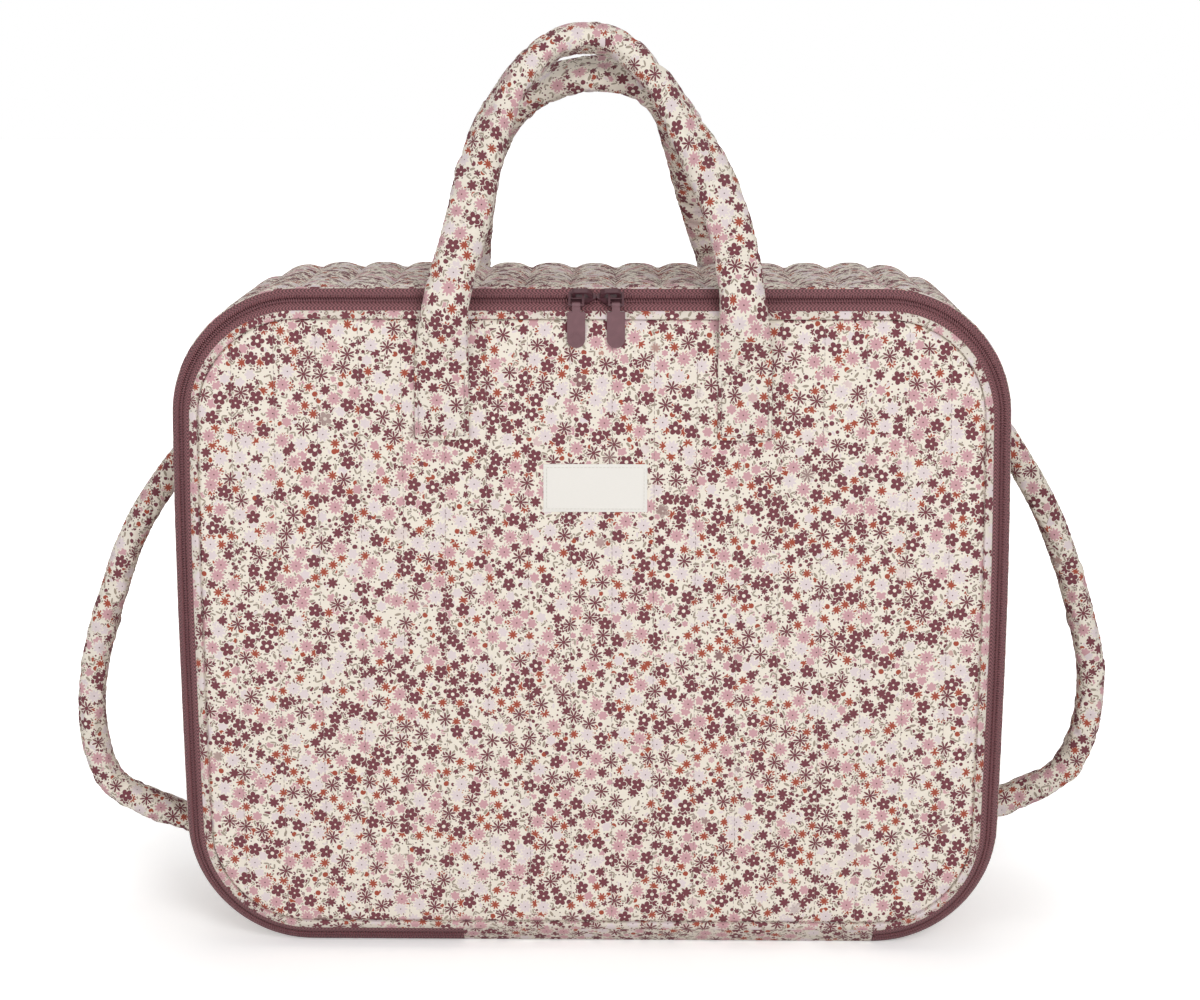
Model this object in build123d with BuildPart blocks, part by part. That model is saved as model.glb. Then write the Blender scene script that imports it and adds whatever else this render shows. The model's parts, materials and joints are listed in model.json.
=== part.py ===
from build123d import *
import os
from math import atan2, cos, degrees, pi, radians, sin, sqrt, tan

# A soft quilted suitcase. The lid is the whole front face and opens on a zip that runs round the
# front edge, down to a cloth strip at the bottom that works as its hinge.
# Frame: X to the right, -Y to the front, Z up. The origin is on the floor, under the middle.

# Body
body_width = 490.0
body_height = 401.5
body_depth = 160.0
corner_radius = 74.0

# Wall layers: the quilted cover at its stitch lines, the foam behind it, and the lining
cover = 1.4
foam = 3.0
lining = 0.8

# Quilting: puffed channels round the gusset, stitched lines down the front and rear panels
channel_pitch = 26.8
channel_depth = 3.0
channel_swell = 0.6
panel_pitch = 24.5
groove_depth = 0.7
groove_width = 3.0
rear_edge_round = 6.5
rear_edge_depth = 8.0

# Zip band, across the front edge at 45 degrees, with a printed strip on each side of it
band_inset = 0.4
tape_front = 8.0
tape_rear = 7.3
tape_thickness = 0.8
coil_width = 2.3
coil_height = 1.5
chain_gap = 1.4
strip_thickness = 1.6
border_width = 5.1
border_tilt = 20.0
edge_strip_width = 5.0
binding_width = 3.2
binding_thickness = 1.8

# Hinge strip and its fold line
hinge_from_middle = 78.0
hinge_thickness = 1.2
fold_clearance = 2.6

# Label; its drop is from the body's top down to its middle
label_width = 60.6
label_height = 28.4
label_thickness = 0.8
label_x = 2.5
label_drop = 115.5

# Top handles: a flat sewn end on each side, then a padded grip that leans over the body. Drops
# are from the body's top down, and the rise is from it up.
handle_spread = 178.0
handle_end_width = 31.5
handle_end_height = 43.0
handle_end_thickness = 4.0
handle_end_drop = 86.5
grip_width = 26.0
grip_thickness = 15.0
grip_corner = 6.4
front_grip_drop = 13.5
rear_grip_rise = 2.5
grip_stand_off = 8.5
front_lean_angle = 21.0
rear_lean_angle = 38.0
grip_spread = 173.0
front_reach = 160.5
rear_reach = 151.0

# How much of the shorter run each bend of a handle may take up
bend_share = 0.45

# Side handles: the routes are distances out from the body's side and heights, from the top down
left_route = [(-9, 306), (17, 278), (40, 245), (60, 192), (74, 135), (68, 84), (45, 66), (-9, 48)]
right_route = [(-9, 319), (14, 290), (39, 250), (58, 195), (69, 148), (61, 98), (39, 78), (-9, 60)]
side_end_shift = 8.0
side_grip_width = 20.0
side_grip_thickness = 17.0
side_grip_corner = 7.6
side_end_width = 28.0
side_end_height = 38.0
side_end_thickness = 4.0
sewn_gap = 0.05

# Zip sliders: length runs out from where the two noses meet
meeting_x = 3.0
nose_gap = 0.4
slider_length = 14.4
slider_width = 8.8
slider_plate = 1.3
slider_lift = 0.3
slider_under = 0.4
slider_lip = 0.9
lip_reach = 0.9
post_length = 3.0
post_width = 0.9
bridge_height = 5.2
bridge_bar = 1.2
bridge_width = 3.2
bridge_start = 1.6
bridge_toe = 1.0
bridge_leg = 2.6
bridge_shoulder = 3.2
bridge_chamfer = 1.5
pillar_start = 11.7
pillar_end = 14.0

# Pull: a link with two cross pins, and the tab that hangs from it
link_gap = 6.6
pull_offset = 1.6
link_ear = 1.3
link_width = 1.6
link_bar = 0.9
link_bar_place = 0.45
link_pins = 8.0
pin_radius = 0.75
pin_clearance = 0.07
tab_width = 10.4
tab_length = 24.8
tab_thickness = 1.8
tab_neck_width = 4.7
tab_neck = 3.9
eye_radius = 1.5
tab_clearance = 0.35
ring_radius = 3.4
ring_width = 0.7
ring_height = 0.25

# Places that follow from the sizes
front_y = -body_depth / 2
rear_y = body_depth / 2
slope = sqrt(0.5)
reach_front = chain_gap / 2 + tape_front
reach_rear = chain_gap / 2 + tape_rear
border_rise = border_width * cos(radians(border_tilt))
border_run = border_width * sin(radians(border_tilt))
chain_inset = band_inset + reach_rear * slope
panel_inset = chain_inset + reach_front * slope + border_rise
chain_y = front_y + border_run + reach_front * slope
band_end_y = chain_y + reach_rear * slope
quilt_y = band_end_y + edge_strip_width
rear_seam_y = rear_y - rear_edge_depth
cover_inset = channel_depth + cover
foam_inset = cover_inset + foam
wall_inset = foam_inset + lining
straight_half = body_width / 2 - corner_radius
hinge_start = -hinge_from_middle
label_z = body_height - label_drop
handle_end_z = body_height - handle_end_drop
front_grip_z = body_height - front_grip_drop
rear_grip_z = body_height + rear_grip_rise


def lid_plane(y):
    """The upright plane at depth y, centred on the body, facing the front."""
    return Plane(origin=(0, y, body_height / 2), x_dir=(1, 0, 0), z_dir=(0, -1, 0))


def outline(inset, mode=Mode.ADD):
    """The body's rounded outline, drawn smaller by the inset all round."""
    width, height = body_width - 2 * inset, body_height - 2 * inset
    RectangleRounded(width, height, corner_radius - inset, mode=mode)


def layer(front, rear, outer):
    """A flat layer of the front or rear wall, from depth front to depth rear."""
    with BuildSketch(lid_plane(front)) as shape:
        outline(outer)
    extrude(shape.sketch, amount=front - rear)


def hoop(front, rear, outer, inner):
    """A layer that runs round the body between two insets."""
    with BuildSketch(lid_plane(front)) as shape:
        outline(outer)
        outline(inner, mode=Mode.SUBTRACT)
    extrude(shape.sketch, amount=front - rear)


def band(u, n):
    """A point of the zip band as inset and depth: u from the chain to the lid, n outwards."""
    return (chain_inset + (u - n) * slope, chain_y - (u + n) * slope)


def edge_path(first, last):
    """The body's outline as a path that starts on the bottom at first and ends at last."""
    side = body_width / 2
    r = corner_radius
    top = body_height
    half = straight_half
    arc = r * (1 - slope)
    with BuildLine(Plane.XZ) as path:
        Line((first, 0), (-half, 0))
        ThreePointArc((-half, 0), (-side + arc, arc), (-side, r))
        Line((-side, r), (-side, top - r))
        ThreePointArc((-side, top - r), (-side + arc, top - arc), (-half, top))
        Line((-half, top), (half, top))
        ThreePointArc((half, top), (side - arc, top - arc), (side, top - r))
        Line((side, top - r), (side, r))
        ThreePointArc((side, r), (side - arc, arc), (half, 0))
        if last < half:
            Line((half, 0), (last, 0))
    return path.wire()


def run_round(points, first=hinge_start, last=straight_half):
    """Sweeps a section, given as insets and depths, round the body's edge."""
    start = Plane(origin=(first, 0, 0), x_dir=(0, 0, -1), z_dir=(-1, 0, 0))
    with BuildSketch(start) as section:
        with BuildLine():
            Polyline([(-inset, -depth) for inset, depth in points], close=True)
        make_face()
    sweep(section.sketch, path=edge_path(first, last))


def coil_section(side):
    """One half of the zip's coil as a rounded bead; side is 1 for the lid's half."""
    steps = 6
    middle = chain_gap / 2 + coil_width / 2
    places = [pi * i / steps for i in range(steps + 1)]
    return [band(side * (middle - coil_width / 2 * cos(a)), coil_height * sin(a)) for a in places]


def outline_point(distance, inset):
    """The outline's point at a distance along it from the middle of the bottom, to the left."""
    side_run = body_height - 2 * corner_radius
    arc = corner_radius * pi / 2
    runs = [straight_half, arc, side_run, arc, 2 * straight_half, arc, side_run, arc, straight_half]
    r = corner_radius
    x, z, heading = 0.0, 0.0, pi
    for index, run in enumerate(runs):
        here = min(distance, run)
        if index % 2:
            turn = here / r
            cx, cz = x + r * sin(heading), z - r * cos(heading)
            heading -= turn
            x, z = cx - r * sin(heading), cz + r * cos(heading)
        else:
            x, z = x + here * cos(heading), z + here * sin(heading)
        distance -= here
        if distance <= 0:
            break
    return (x + inset * sin(heading), z - inset * cos(heading))


# The gusset's cover, with an even number of channels so that one is centred under the body
perimeter = 4 * straight_half + 2 * (body_height - 2 * corner_radius) + 2 * pi * corner_radius
channels = 2 * round(perimeter / channel_pitch / 2)
pitch = perimeter / channels
with BuildPart() as gusset_cover:
    with BuildSketch(Plane.XZ.offset(-quilt_y)):
        with BuildLine():
            for k in range(channels):
                seam, crest, next_seam = (k - 0.5) * pitch, k * pitch, (k + 0.5) * pitch
                ThreePointArc(
                    outline_point(seam % perimeter, channel_depth),
                    outline_point(crest, -channel_swell),
                    outline_point(next_seam, channel_depth),
                )
        make_face()
    extrude(amount=quilt_y - rear_seam_y)
    with BuildSketch(lid_plane(quilt_y)):
        outline(cover_inset)
    extrude(amount=quilt_y - rear_seam_y, mode=Mode.SUBTRACT)
    with Locations((0, (quilt_y + rear_seam_y) / 2, -channel_swell)):
        Box(body_width, body_depth, 2 * channel_swell, mode=Mode.SUBTRACT)
gusset_cover.part.label = "gusset_cover"

rear_plate_y = rear_y - groove_depth - cover
rear_foam_y = rear_plate_y - foam
rear_lining_y = rear_foam_y - lining
with BuildPart() as gusset_foam:
    hoop(quilt_y, rear_lining_y, cover_inset, foam_inset)
gusset_foam.part.label = "gusset_foam"

with BuildPart() as gusset_lining:
    hoop(quilt_y, rear_lining_y, foam_inset, wall_inset)
gusset_lining.part.label = "gusset_lining"


def stitch_grooves(face_y, inset):
    """Cuts the upright stitch lines into a panel's outer face."""
    facing = 1 if face_y > 0 else -1
    half_lines = int((body_width / 2 - inset) / panel_pitch - 0.5)
    for k in range(-half_lines - 1, half_lines + 1):
        x = (k + 0.5) * panel_pitch
        rise = corner_radius - inset
        past = max(0.0, abs(x) - straight_half)
        drop = rise - sqrt(max(0.0, rise * rise - past * past)) + inset
        with BuildSketch(Plane.XY.offset(drop)) as groove:
            with BuildLine():
                Polyline(
                    (x - groove_width / 2, face_y),
                    (x, face_y - facing * groove_depth),
                    (x + groove_width / 2, face_y),
                    close=True,
                )
            make_face()
        extrude(groove.sketch, amount=body_height - 2 * drop, mode=Mode.SUBTRACT)


with BuildPart() as rear_panel:
    layer(rear_seam_y, rear_y, 0)
    rim = rear_panel.faces().sort_by(Axis.Y)[-1].edges()
    fillet(rim, rear_edge_round)
    with BuildSketch(lid_plane(rear_seam_y)):
        outline(cover_inset)
    extrude(amount=rear_seam_y - rear_plate_y, mode=Mode.SUBTRACT)
    stitch_grooves(rear_y, rear_edge_round)
rear_panel.part.label = "rear_panel"

with BuildPart() as rear_foam:
    layer(rear_foam_y, rear_plate_y, cover_inset)
rear_foam.part.label = "rear_foam"

with BuildPart() as rear_lining:
    layer(rear_lining_y, rear_foam_y, cover_inset)
rear_lining.part.label = "rear_lining"

with BuildPart() as seam_binding_back:
    hoop(rear_lining_y - binding_thickness, rear_lining_y, wall_inset, wall_inset + binding_width)
seam_binding_back.part.label = "seam_binding_back"

# The opening's edge on the shell: printed strip, zip tape, coil and the bound seam behind them
with BuildPart() as gusset_edge_strip:
    hoop(band_end_y, quilt_y, band_inset, band_inset + strip_thickness)
gusset_edge_strip.part.label = "gusset_edge_strip"

with BuildPart() as seam_binding_rear:
    hoop(quilt_y - binding_thickness, quilt_y, band_inset + strip_thickness, wall_inset)
seam_binding_rear.part.label = "seam_binding_rear"

bevel = tape_thickness
with BuildPart() as zip_tape_rear:
    run_round(
        [
            band(-reach_rear, 0),
            band(-chain_gap / 2, 0),
            band(-chain_gap / 2, -tape_thickness),
            band(-reach_rear + bevel, -tape_thickness),
        ]
    )
zip_tape_rear.part.label = "zip_tape_rear"

with BuildPart() as zip_coil_rear:
    run_round(coil_section(-1))
zip_coil_rear.part.label = "zip_coil_rear"

# The lid, from the front in: quilted panel, foam and lining
front_plate_y = front_y + groove_depth + cover
front_foam_y = front_plate_y + foam
front_lining_y = front_foam_y + lining
with BuildPart() as front_panel:
    layer(front_y, front_plate_y, panel_inset)
    stitch_grooves(front_y, panel_inset)
front_panel.part.label = "front_panel"

with BuildPart() as front_foam:
    layer(front_plate_y, front_foam_y, panel_inset)
front_foam.part.label = "front_foam"

with BuildPart() as front_lining:
    layer(front_foam_y, front_lining_y, panel_inset)
front_lining.part.label = "front_lining"

# The lid's edge: printed border strip, zip tape, coil and the bound seam behind them
border_inner = band(reach_front, -strip_thickness)
with BuildPart() as front_border:
    border_points = [
        (panel_inset, front_y),
        band(reach_front, 0),
        border_inner,
        (panel_inset, front_y + strip_thickness),
    ]
    run_round(border_points, last=hinge_start)
front_border.part.label = "front_border"

with BuildPart() as zip_tape_front:
    run_round(
        [
            band(reach_front, 0),
            band(chain_gap / 2, 0),
            band(chain_gap / 2, -tape_thickness),
            band(reach_front, -tape_thickness),
        ]
    )
zip_tape_front.part.label = "zip_tape_front"

with BuildPart() as zip_coil_front:
    run_round(coil_section(1))
zip_coil_front.part.label = "zip_coil_front"

with BuildPart() as seam_binding_front:
    run_round(
        [
            border_inner,
            (panel_inset, front_y + strip_thickness),
            (panel_inset, front_lining_y),
            (border_inner[0], front_lining_y),
        ],
        last=hinge_start,
    )
seam_binding_front.part.label = "seam_binding_front"

# The cloth hinge: one strip across the band where the zip leaves off
with BuildPart() as hinge_strip:
    with BuildSketch(Plane.YZ.offset(hinge_start)):
        with BuildLine():
            corners = [
                band(-reach_rear, 0),
                band(reach_front, 0),
                band(reach_front, -hinge_thickness),
                band(-reach_rear + hinge_thickness, -hinge_thickness),
            ]
            Polyline([(depth, inset) for inset, depth in corners], close=True)
        make_face()
    extrude(amount=straight_half - hinge_start)
hinge_strip.part.label = "hinge_strip"

with BuildPart() as label:
    with BuildSketch(Plane(origin=(label_x, front_y, label_z), x_dir=(1, 0, 0), z_dir=(0, -1, 0))):
        Rectangle(label_width, label_height)
    extrude(amount=label_thickness)
label.part.label = "label"


def arch_points(spread, reach):
    """The grip's route in its own leaning plane: straight legs that lean in to a round top."""
    half = spread / 2
    return [
        (half, 0),
        (half * 0.89, reach * 0.28),
        (half * 0.68, reach * 0.61),
        (half * 0.235, reach),
        (-half * 0.235, reach),
        (-half * 0.68, reach * 0.61),
        (-half * 0.89, reach * 0.28),
        (-half, 0),
    ]


def easy_radii(points):
    """The largest bend at each corner of a route that its two runs leave room for."""
    radii = []
    for before, here, after in zip(points, points[1:], points[2:]):
        arriving = Vector(*here) - Vector(*before)
        leaving = Vector(*after) - Vector(*here)
        half_turn = radians(arriving.get_angle(leaving)) / 2
        radii.append(bend_share * min(arriving.length, leaving.length) / tan(half_turn))
    return radii


def top_handle(facing, start_z, lean, reach):
    """A top handle on the front or rear panel; facing is -1 for the front."""
    face = facing * body_depth / 2
    tilt = radians(lean)
    arch_plane = Plane(
        origin=(0, face + facing * grip_stand_off, start_z),
        x_dir=(1, 0, 0),
        z_dir=(0, -cos(tilt), -facing * sin(tilt)),
    )
    end_depth = face + facing * handle_end_thickness / 2
    end_top = handle_end_z + handle_end_height
    with BuildPart() as handle:
        with BuildLine(arch_plane) as route:
            points = arch_points(grip_spread, reach)
            FilletPolyline(*points, radius=easy_radii(points))
        route_wire = route.wire()
        across = arch_plane.z_dir
        first = Plane(route_wire @ 0, x_dir=(route_wire % 0).cross(across), z_dir=route_wire % 0)
        with BuildSketch(first):
            RectangleRounded(grip_width, grip_thickness, grip_corner)
        sweep(path=route_wire)
        for side, place in ((1, 0), (-1, 1)):
            centre = side * handle_spread / 2
            with Locations((centre, end_depth, handle_end_z + handle_end_height / 2)):
                Box(handle_end_width, handle_end_thickness, handle_end_height)
            upwards = (route_wire % place) * side
            grip_end = Plane(route_wire @ place, x_dir=upwards.cross(across), z_dir=upwards)
            with BuildSketch(Plane((centre, end_depth, end_top), x_dir=(1, 0, 0), z_dir=(0, 0, 1))):
                RectangleRounded(handle_end_width, handle_end_thickness, handle_end_thickness * 0.45)
            with BuildSketch(grip_end):
                RectangleRounded(grip_width, grip_thickness, grip_corner)
            loft()
    return handle


front_handle = top_handle(-1, front_grip_z, front_lean_angle, front_reach)
front_handle.part.label = "front_handle"
rear_handle = top_handle(1, rear_grip_z, rear_lean_angle, rear_reach)
rear_handle.part.label = "rear_handle"


def side_handle(side, route):
    """A side handle; side is 1 on the right. Its two flat ends are sewn to the gusset's crests."""
    sewn_inset = channel_swell + sewn_gap
    crest = body_width / 2 + sewn_inset
    points = [(side * (body_width / 2 + out), height) for out, height in route]
    with BuildPart() as handle:
        with BuildLine(Plane.XZ) as line:
            FilletPolyline(*points, radius=easy_radii(points))
        route_wire = line.wire()
        across = Plane.XZ.z_dir
        first = Plane(route_wire @ 0, x_dir=(route_wire % 0).cross(across), z_dir=route_wire % 0)
        with BuildSketch(first):
            RectangleRounded(side_grip_thickness, side_grip_width, side_grip_corner)
        sweep(path=route_wire)
        with BuildSketch(lid_plane(-side_end_width / 2)):
            outline(-sewn_inset)
        extrude(amount=-side_end_width, mode=Mode.SUBTRACT)
        for inner, outer, shift in ((route[0], route[1], 1), (route[-1], route[-2], -1)):
            share = (sewn_inset - inner[0]) / (outer[0] - inner[0])
            height = inner[1] + share * (outer[1] - inner[1]) + shift * side_end_shift
            with BuildSketch(lid_plane(-side_end_width / 2)):
                outline(-sewn_inset - side_end_thickness)
                outline(-sewn_inset, mode=Mode.SUBTRACT)
                with Locations((side * crest, height - body_height / 2)):
                    Rectangle(2 * corner_radius, side_end_height, mode=Mode.INTERSECT)
            extrude(amount=-side_end_width)
    return handle


side_handle_left = side_handle(-1, left_route)
side_handle_left.part.label = "side_handle_left"
side_handle_right = side_handle(1, right_route)
side_handle_right.part.label = "side_handle_right"

# Zip sliders and pulls, laid out on the flat of the zip along the top of the lid
plate_under = coil_height + slider_lift
plate_top = plate_under + slider_plate
pin_n = plate_top + bridge_height / 2
pull_middle = (pillar_start + pillar_end) / 2 - pull_offset
link_inner = pull_middle - link_gap / 2
link_outer = pull_middle + link_gap / 2
upper_pin_y = band(0, pin_n)[1]
upper_pin_z = body_height - band(0, pin_n)[0]
tab_y = front_y - tab_clearance - tab_thickness / 2
lower_pin_y = tab_y
lower_pin_z = upper_pin_z - sqrt(link_pins**2 - (upper_pin_y - lower_pin_y) ** 2)


def chain_plane(n):
    """The plane of the zip along the top at height n above its tape; Y runs to the gusset."""
    inset, depth = band(0, n)
    return Plane(origin=(0, depth, body_height - inset), x_dir=(1, 0, 0), z_dir=(0, -slope, slope))


def pull_x(side, along):
    """X of a place on a slider or its pull, measured out from the slider's nose."""
    return meeting_x + side * (nose_gap / 2 + along)


def slider_plan(side, rear_edge):
    """The corners of a slider's plate, from its narrow nose to its square heel."""
    half = slider_width / 2
    nose = half * 0.28
    shoulder = slider_length * 0.3
    heel = half * 0.26
    edge = min(half, rear_edge)
    points = [(0, -nose), (shoulder, -half), (slider_length - heel, -half), (slider_length, heel - half)]
    if edge < half:
        points += [(slider_length, edge), (0, edge)]
    else:
        points += [(slider_length, half - heel), (slider_length - heel, half), (shoulder, half), (0, nose)]
    return [(pull_x(side, along), v) for along, v in points]


def zip_slider(side):
    """One zip slider: two plates joined by a post at the nose, lips, and a bridge for the pull."""
    half = slider_width / 2
    under_top = -tape_thickness - slider_under
    shoulder = slider_length * 0.36
    with BuildPart() as slider:
        with BuildSketch(chain_plane(plate_under)):
            Polygon(*slider_plan(side, half), align=None)
        extrude(amount=slider_plate)
        with BuildSketch(chain_plane(under_top)):
            Polygon(*slider_plan(side, post_width / 2), align=None)
        extrude(amount=-slider_plate)
        with BuildSketch(chain_plane(under_top)):
            with Locations((pull_x(side, post_length / 2 + slider_lip), 0)):
                Rectangle(post_length, post_width)
        extrude(amount=plate_under - under_top)
        with BuildSketch(chain_plane(plate_under)):
            lip_middle = (shoulder + slider_length - slider_lip) / 2
            for edge in (-1, 1):
                with Locations((pull_x(side, lip_middle), edge * (half - slider_lip / 2))):
                    Rectangle(slider_length - slider_lip - shoulder, slider_lip)
        extrude(amount=-lip_reach)
        bridge_side = Plane(
            origin=chain_plane(0).from_local_coords((0, -bridge_width / 2, 0)),
            x_dir=(1, 0, 0),
            z_dir=(0, -slope, -slope),
        )
        top = plate_top + bridge_height
        bar = top - bridge_bar
        with BuildSketch(bridge_side):
            with BuildLine():
                arch = [
                    (bridge_start, plate_top),
                    (bridge_start + bridge_toe, top - bridge_chamfer),
                    (bridge_start + bridge_shoulder, top),
                    (pillar_end - bridge_chamfer, top),
                    (pillar_end, top - bridge_chamfer),
                    (pillar_end, plate_top),
                    (pillar_start, plate_top),
                    (pillar_start, bar),
                    (bridge_start + bridge_shoulder + bridge_toe, bar),
                    (bridge_start + bridge_leg, plate_top + bridge_chamfer),
                    (bridge_start + bridge_leg, plate_top),
                ]
                Polyline([(pull_x(side, along), n) for along, n in arch], close=True)
            make_face()
        extrude(amount=-bridge_width)
        pillar_middle = pull_x(side, (pillar_start + pillar_end) / 2)
        with Locations(Location((pillar_middle, upper_pin_y, upper_pin_z), (0, 90, 0))):
            Cylinder(pin_radius + pin_clearance, 2 * (pillar_end - pillar_start), mode=Mode.SUBTRACT)
    return slider


def cross_pin(side, y, z, radius, length):
    """A round bar of the pull that lies along X."""
    with Locations(Location((pull_x(side, pull_middle), y, z), (0, 90, 0))):
        Cylinder(radius, length)


def pull_link(side):
    """The link of a pull: two ears joined by the pin in the bridge, a bar and the tab's pin."""
    angle = degrees(atan2(upper_pin_z - lower_pin_z, upper_pin_y - lower_pin_y))
    bar_y = upper_pin_y + (lower_pin_y - upper_pin_y) * link_bar_place
    bar_z = upper_pin_z + (lower_pin_z - upper_pin_z) * link_bar_place
    with BuildPart() as link:
        for start in (link_inner - link_ear, link_outer):
            ear_x = min(pull_x(side, start), pull_x(side, start + link_ear))
            with BuildSketch(Plane.YZ.offset(ear_x)):
                with Locations(((upper_pin_y + lower_pin_y) / 2, (upper_pin_z + lower_pin_z) / 2)):
                    SlotCenterToCenter(link_pins, link_width, rotation=angle)
            extrude(amount=link_ear)
        cross_pin(side, upper_pin_y, upper_pin_z, pin_radius, link_gap)
        cross_pin(side, lower_pin_y, lower_pin_z, pin_radius, link_gap)
        cross_pin(side, bar_y, bar_z, link_bar / 2, link_gap)
    return link


def tab_plane(x, y):
    """An upright plane that faces the front, with its origin at floor level."""
    return Plane(origin=(x, y, 0), x_dir=(1, 0, 0), z_dir=(0, -1, 0))


def pull_tab(side):
    """The tab of a pull: a neck on the link's pin, square shoulders and a round end with a ring."""
    middle = pull_x(side, pull_middle)
    blade_top = lower_pin_z - tab_neck
    round_z = lower_pin_z - tab_length + tab_width / 2
    with BuildPart() as tab:
        with BuildSketch(tab_plane(middle, tab_y + tab_thickness / 2)):
            with Locations((0, (blade_top + round_z) / 2)):
                Rectangle(tab_width, blade_top - round_z)
            with Locations((0, round_z)):
                Circle(tab_width / 2)
            with Locations((0, (lower_pin_z + blade_top) / 2)):
                Rectangle(tab_neck_width, tab_neck)
        extrude(amount=tab_thickness)
        with BuildSketch(tab_plane(middle, tab_y - tab_thickness / 2)):
            with Locations((0, round_z)):
                Circle(ring_radius)
                Circle(ring_radius - ring_width, mode=Mode.SUBTRACT)
        extrude(amount=ring_height)
        cross_pin(side, lower_pin_y, lower_pin_z, eye_radius, tab_neck_width)
        with Locations(Location((middle, lower_pin_y, lower_pin_z), (0, 90, 0))):
            Cylinder(pin_radius + pin_clearance, tab_width, mode=Mode.SUBTRACT)
    return tab


zip_slider_left = zip_slider(-1)
zip_slider_left.part.label = "zip_slider_left"
zip_slider_right = zip_slider(1)
zip_slider_right.part.label = "zip_slider_right"
pull_link_left = pull_link(-1)
pull_link_left.part.label = "pull_link_left"
pull_link_right = pull_link(1)
pull_link_right.part.label = "pull_link_right"
pull_tab_left = pull_tab(-1)
pull_tab_left.part.label = "pull_tab_left"
pull_tab_right = pull_tab(1)
pull_tab_right.part.label = "pull_tab_right"

pieces = [
    front_panel,
    front_foam,
    front_lining,
    front_border,
    zip_tape_front,
    zip_coil_front,
    seam_binding_front,
    label,
    front_handle,
    gusset_cover,
    gusset_foam,
    gusset_lining,
    gusset_edge_strip,
    zip_tape_rear,
    zip_coil_rear,
    seam_binding_rear,
    seam_binding_back,
    hinge_strip,
    rear_panel,
    rear_foam,
    rear_lining,
    rear_handle,
    side_handle_left,
    side_handle_right,
    zip_slider_left,
    zip_slider_right,
    pull_link_left,
    pull_link_right,
    pull_tab_left,
    pull_tab_right,
]
os.makedirs("parts", exist_ok=True)
for piece in pieces:
    export_step(piece.part, f"parts/{piece.part.label}.step")

fold_inset, fold_y = band(0, fold_clearance)
print("lid hinge at y, z:", round(fold_y, 3), round(fold_inset, 3))
print("upper pins at y, z:", round(upper_pin_y, 3), round(upper_pin_z, 3))
print("lower pins at y, z:", round(lower_pin_y, 3), round(lower_pin_z, 3))
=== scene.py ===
"""A soft quilted suitcase in printed cotton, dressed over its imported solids."""

import json
import logging
import math
from dataclasses import dataclass, field
from enum import Enum
from typing import Any, Callable, Sequence

import bmesh
import bpy
from mathutils import Matrix, Vector, noise

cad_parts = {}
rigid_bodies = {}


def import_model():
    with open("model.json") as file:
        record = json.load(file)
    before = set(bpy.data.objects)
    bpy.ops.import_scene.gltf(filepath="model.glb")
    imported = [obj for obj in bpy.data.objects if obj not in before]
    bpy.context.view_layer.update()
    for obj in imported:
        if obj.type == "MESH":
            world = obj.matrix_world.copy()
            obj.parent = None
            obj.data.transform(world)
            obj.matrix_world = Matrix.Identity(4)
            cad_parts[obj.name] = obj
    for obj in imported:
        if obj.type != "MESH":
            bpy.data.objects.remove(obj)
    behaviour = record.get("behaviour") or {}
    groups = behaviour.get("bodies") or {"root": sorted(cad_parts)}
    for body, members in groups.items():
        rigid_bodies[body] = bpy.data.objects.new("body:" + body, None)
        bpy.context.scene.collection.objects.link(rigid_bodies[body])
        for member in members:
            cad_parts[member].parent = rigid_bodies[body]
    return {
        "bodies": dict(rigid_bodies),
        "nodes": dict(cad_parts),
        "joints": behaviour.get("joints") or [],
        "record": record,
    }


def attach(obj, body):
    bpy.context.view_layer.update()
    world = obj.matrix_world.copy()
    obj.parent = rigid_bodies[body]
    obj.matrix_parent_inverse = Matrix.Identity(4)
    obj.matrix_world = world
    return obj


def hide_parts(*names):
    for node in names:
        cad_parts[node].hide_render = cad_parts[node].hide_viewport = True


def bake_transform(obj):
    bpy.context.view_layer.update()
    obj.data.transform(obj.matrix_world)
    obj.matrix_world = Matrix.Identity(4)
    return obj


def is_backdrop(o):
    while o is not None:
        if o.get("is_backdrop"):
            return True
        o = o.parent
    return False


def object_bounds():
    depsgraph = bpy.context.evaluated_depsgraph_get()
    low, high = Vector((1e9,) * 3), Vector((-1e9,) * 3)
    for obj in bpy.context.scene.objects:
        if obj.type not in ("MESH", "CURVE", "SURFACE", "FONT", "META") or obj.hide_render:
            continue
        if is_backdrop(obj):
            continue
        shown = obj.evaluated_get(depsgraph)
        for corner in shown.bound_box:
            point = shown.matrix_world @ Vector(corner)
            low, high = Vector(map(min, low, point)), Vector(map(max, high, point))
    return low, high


LOG = logging.getLogger("suitcase")
MM = 0.001
# Scales a figure's chance value to a turn in radians
FULL_TURN = 6.2832
# Distance of the lining's inner face from the middle of the body, front and back
INNER_FACE = 74.1 * MM
# How sharply a puffed channel falls to its seam
PUFF_POWER = 2.4
# Points on each corner of a soft route
CURVE_STEPS = 24

Material = bpy.types.Material
Object = bpy.types.Object
Pair = tuple[float, float]
Size = tuple[float, float, float]
Colour = tuple[float, float, float]
Place = Callable[[int, int], Vector]
Spread = Callable[[int, int], Pair]

# Size of a stitch on the handles, and the distance from one to the next
HANDLE_STITCH: Size = (2.3 * MM, 0.45 * MM, 0.45 * MM)
HANDLE_PITCH = 2.9 * MM


def smooth_step(low: float, high: float, value: float) -> float:
    """An easy ramp from 0 at low to 1 at high.

    Args:
        low: Value where the ramp starts.
        high: Value where the ramp ends.
        value: Value to place on the ramp.

    Returns:
        A number from 0 to 1.
    """
    share = min(1.0, max(0.0, (value - low) / (high - low)))
    return share * share * (3.0 - 2.0 * share)


def blend_value(first: float, second: float, share: float) -> float:
    """The value at a share of the way from first to second."""
    return first + (second - first) * share


# Shader tools


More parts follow.
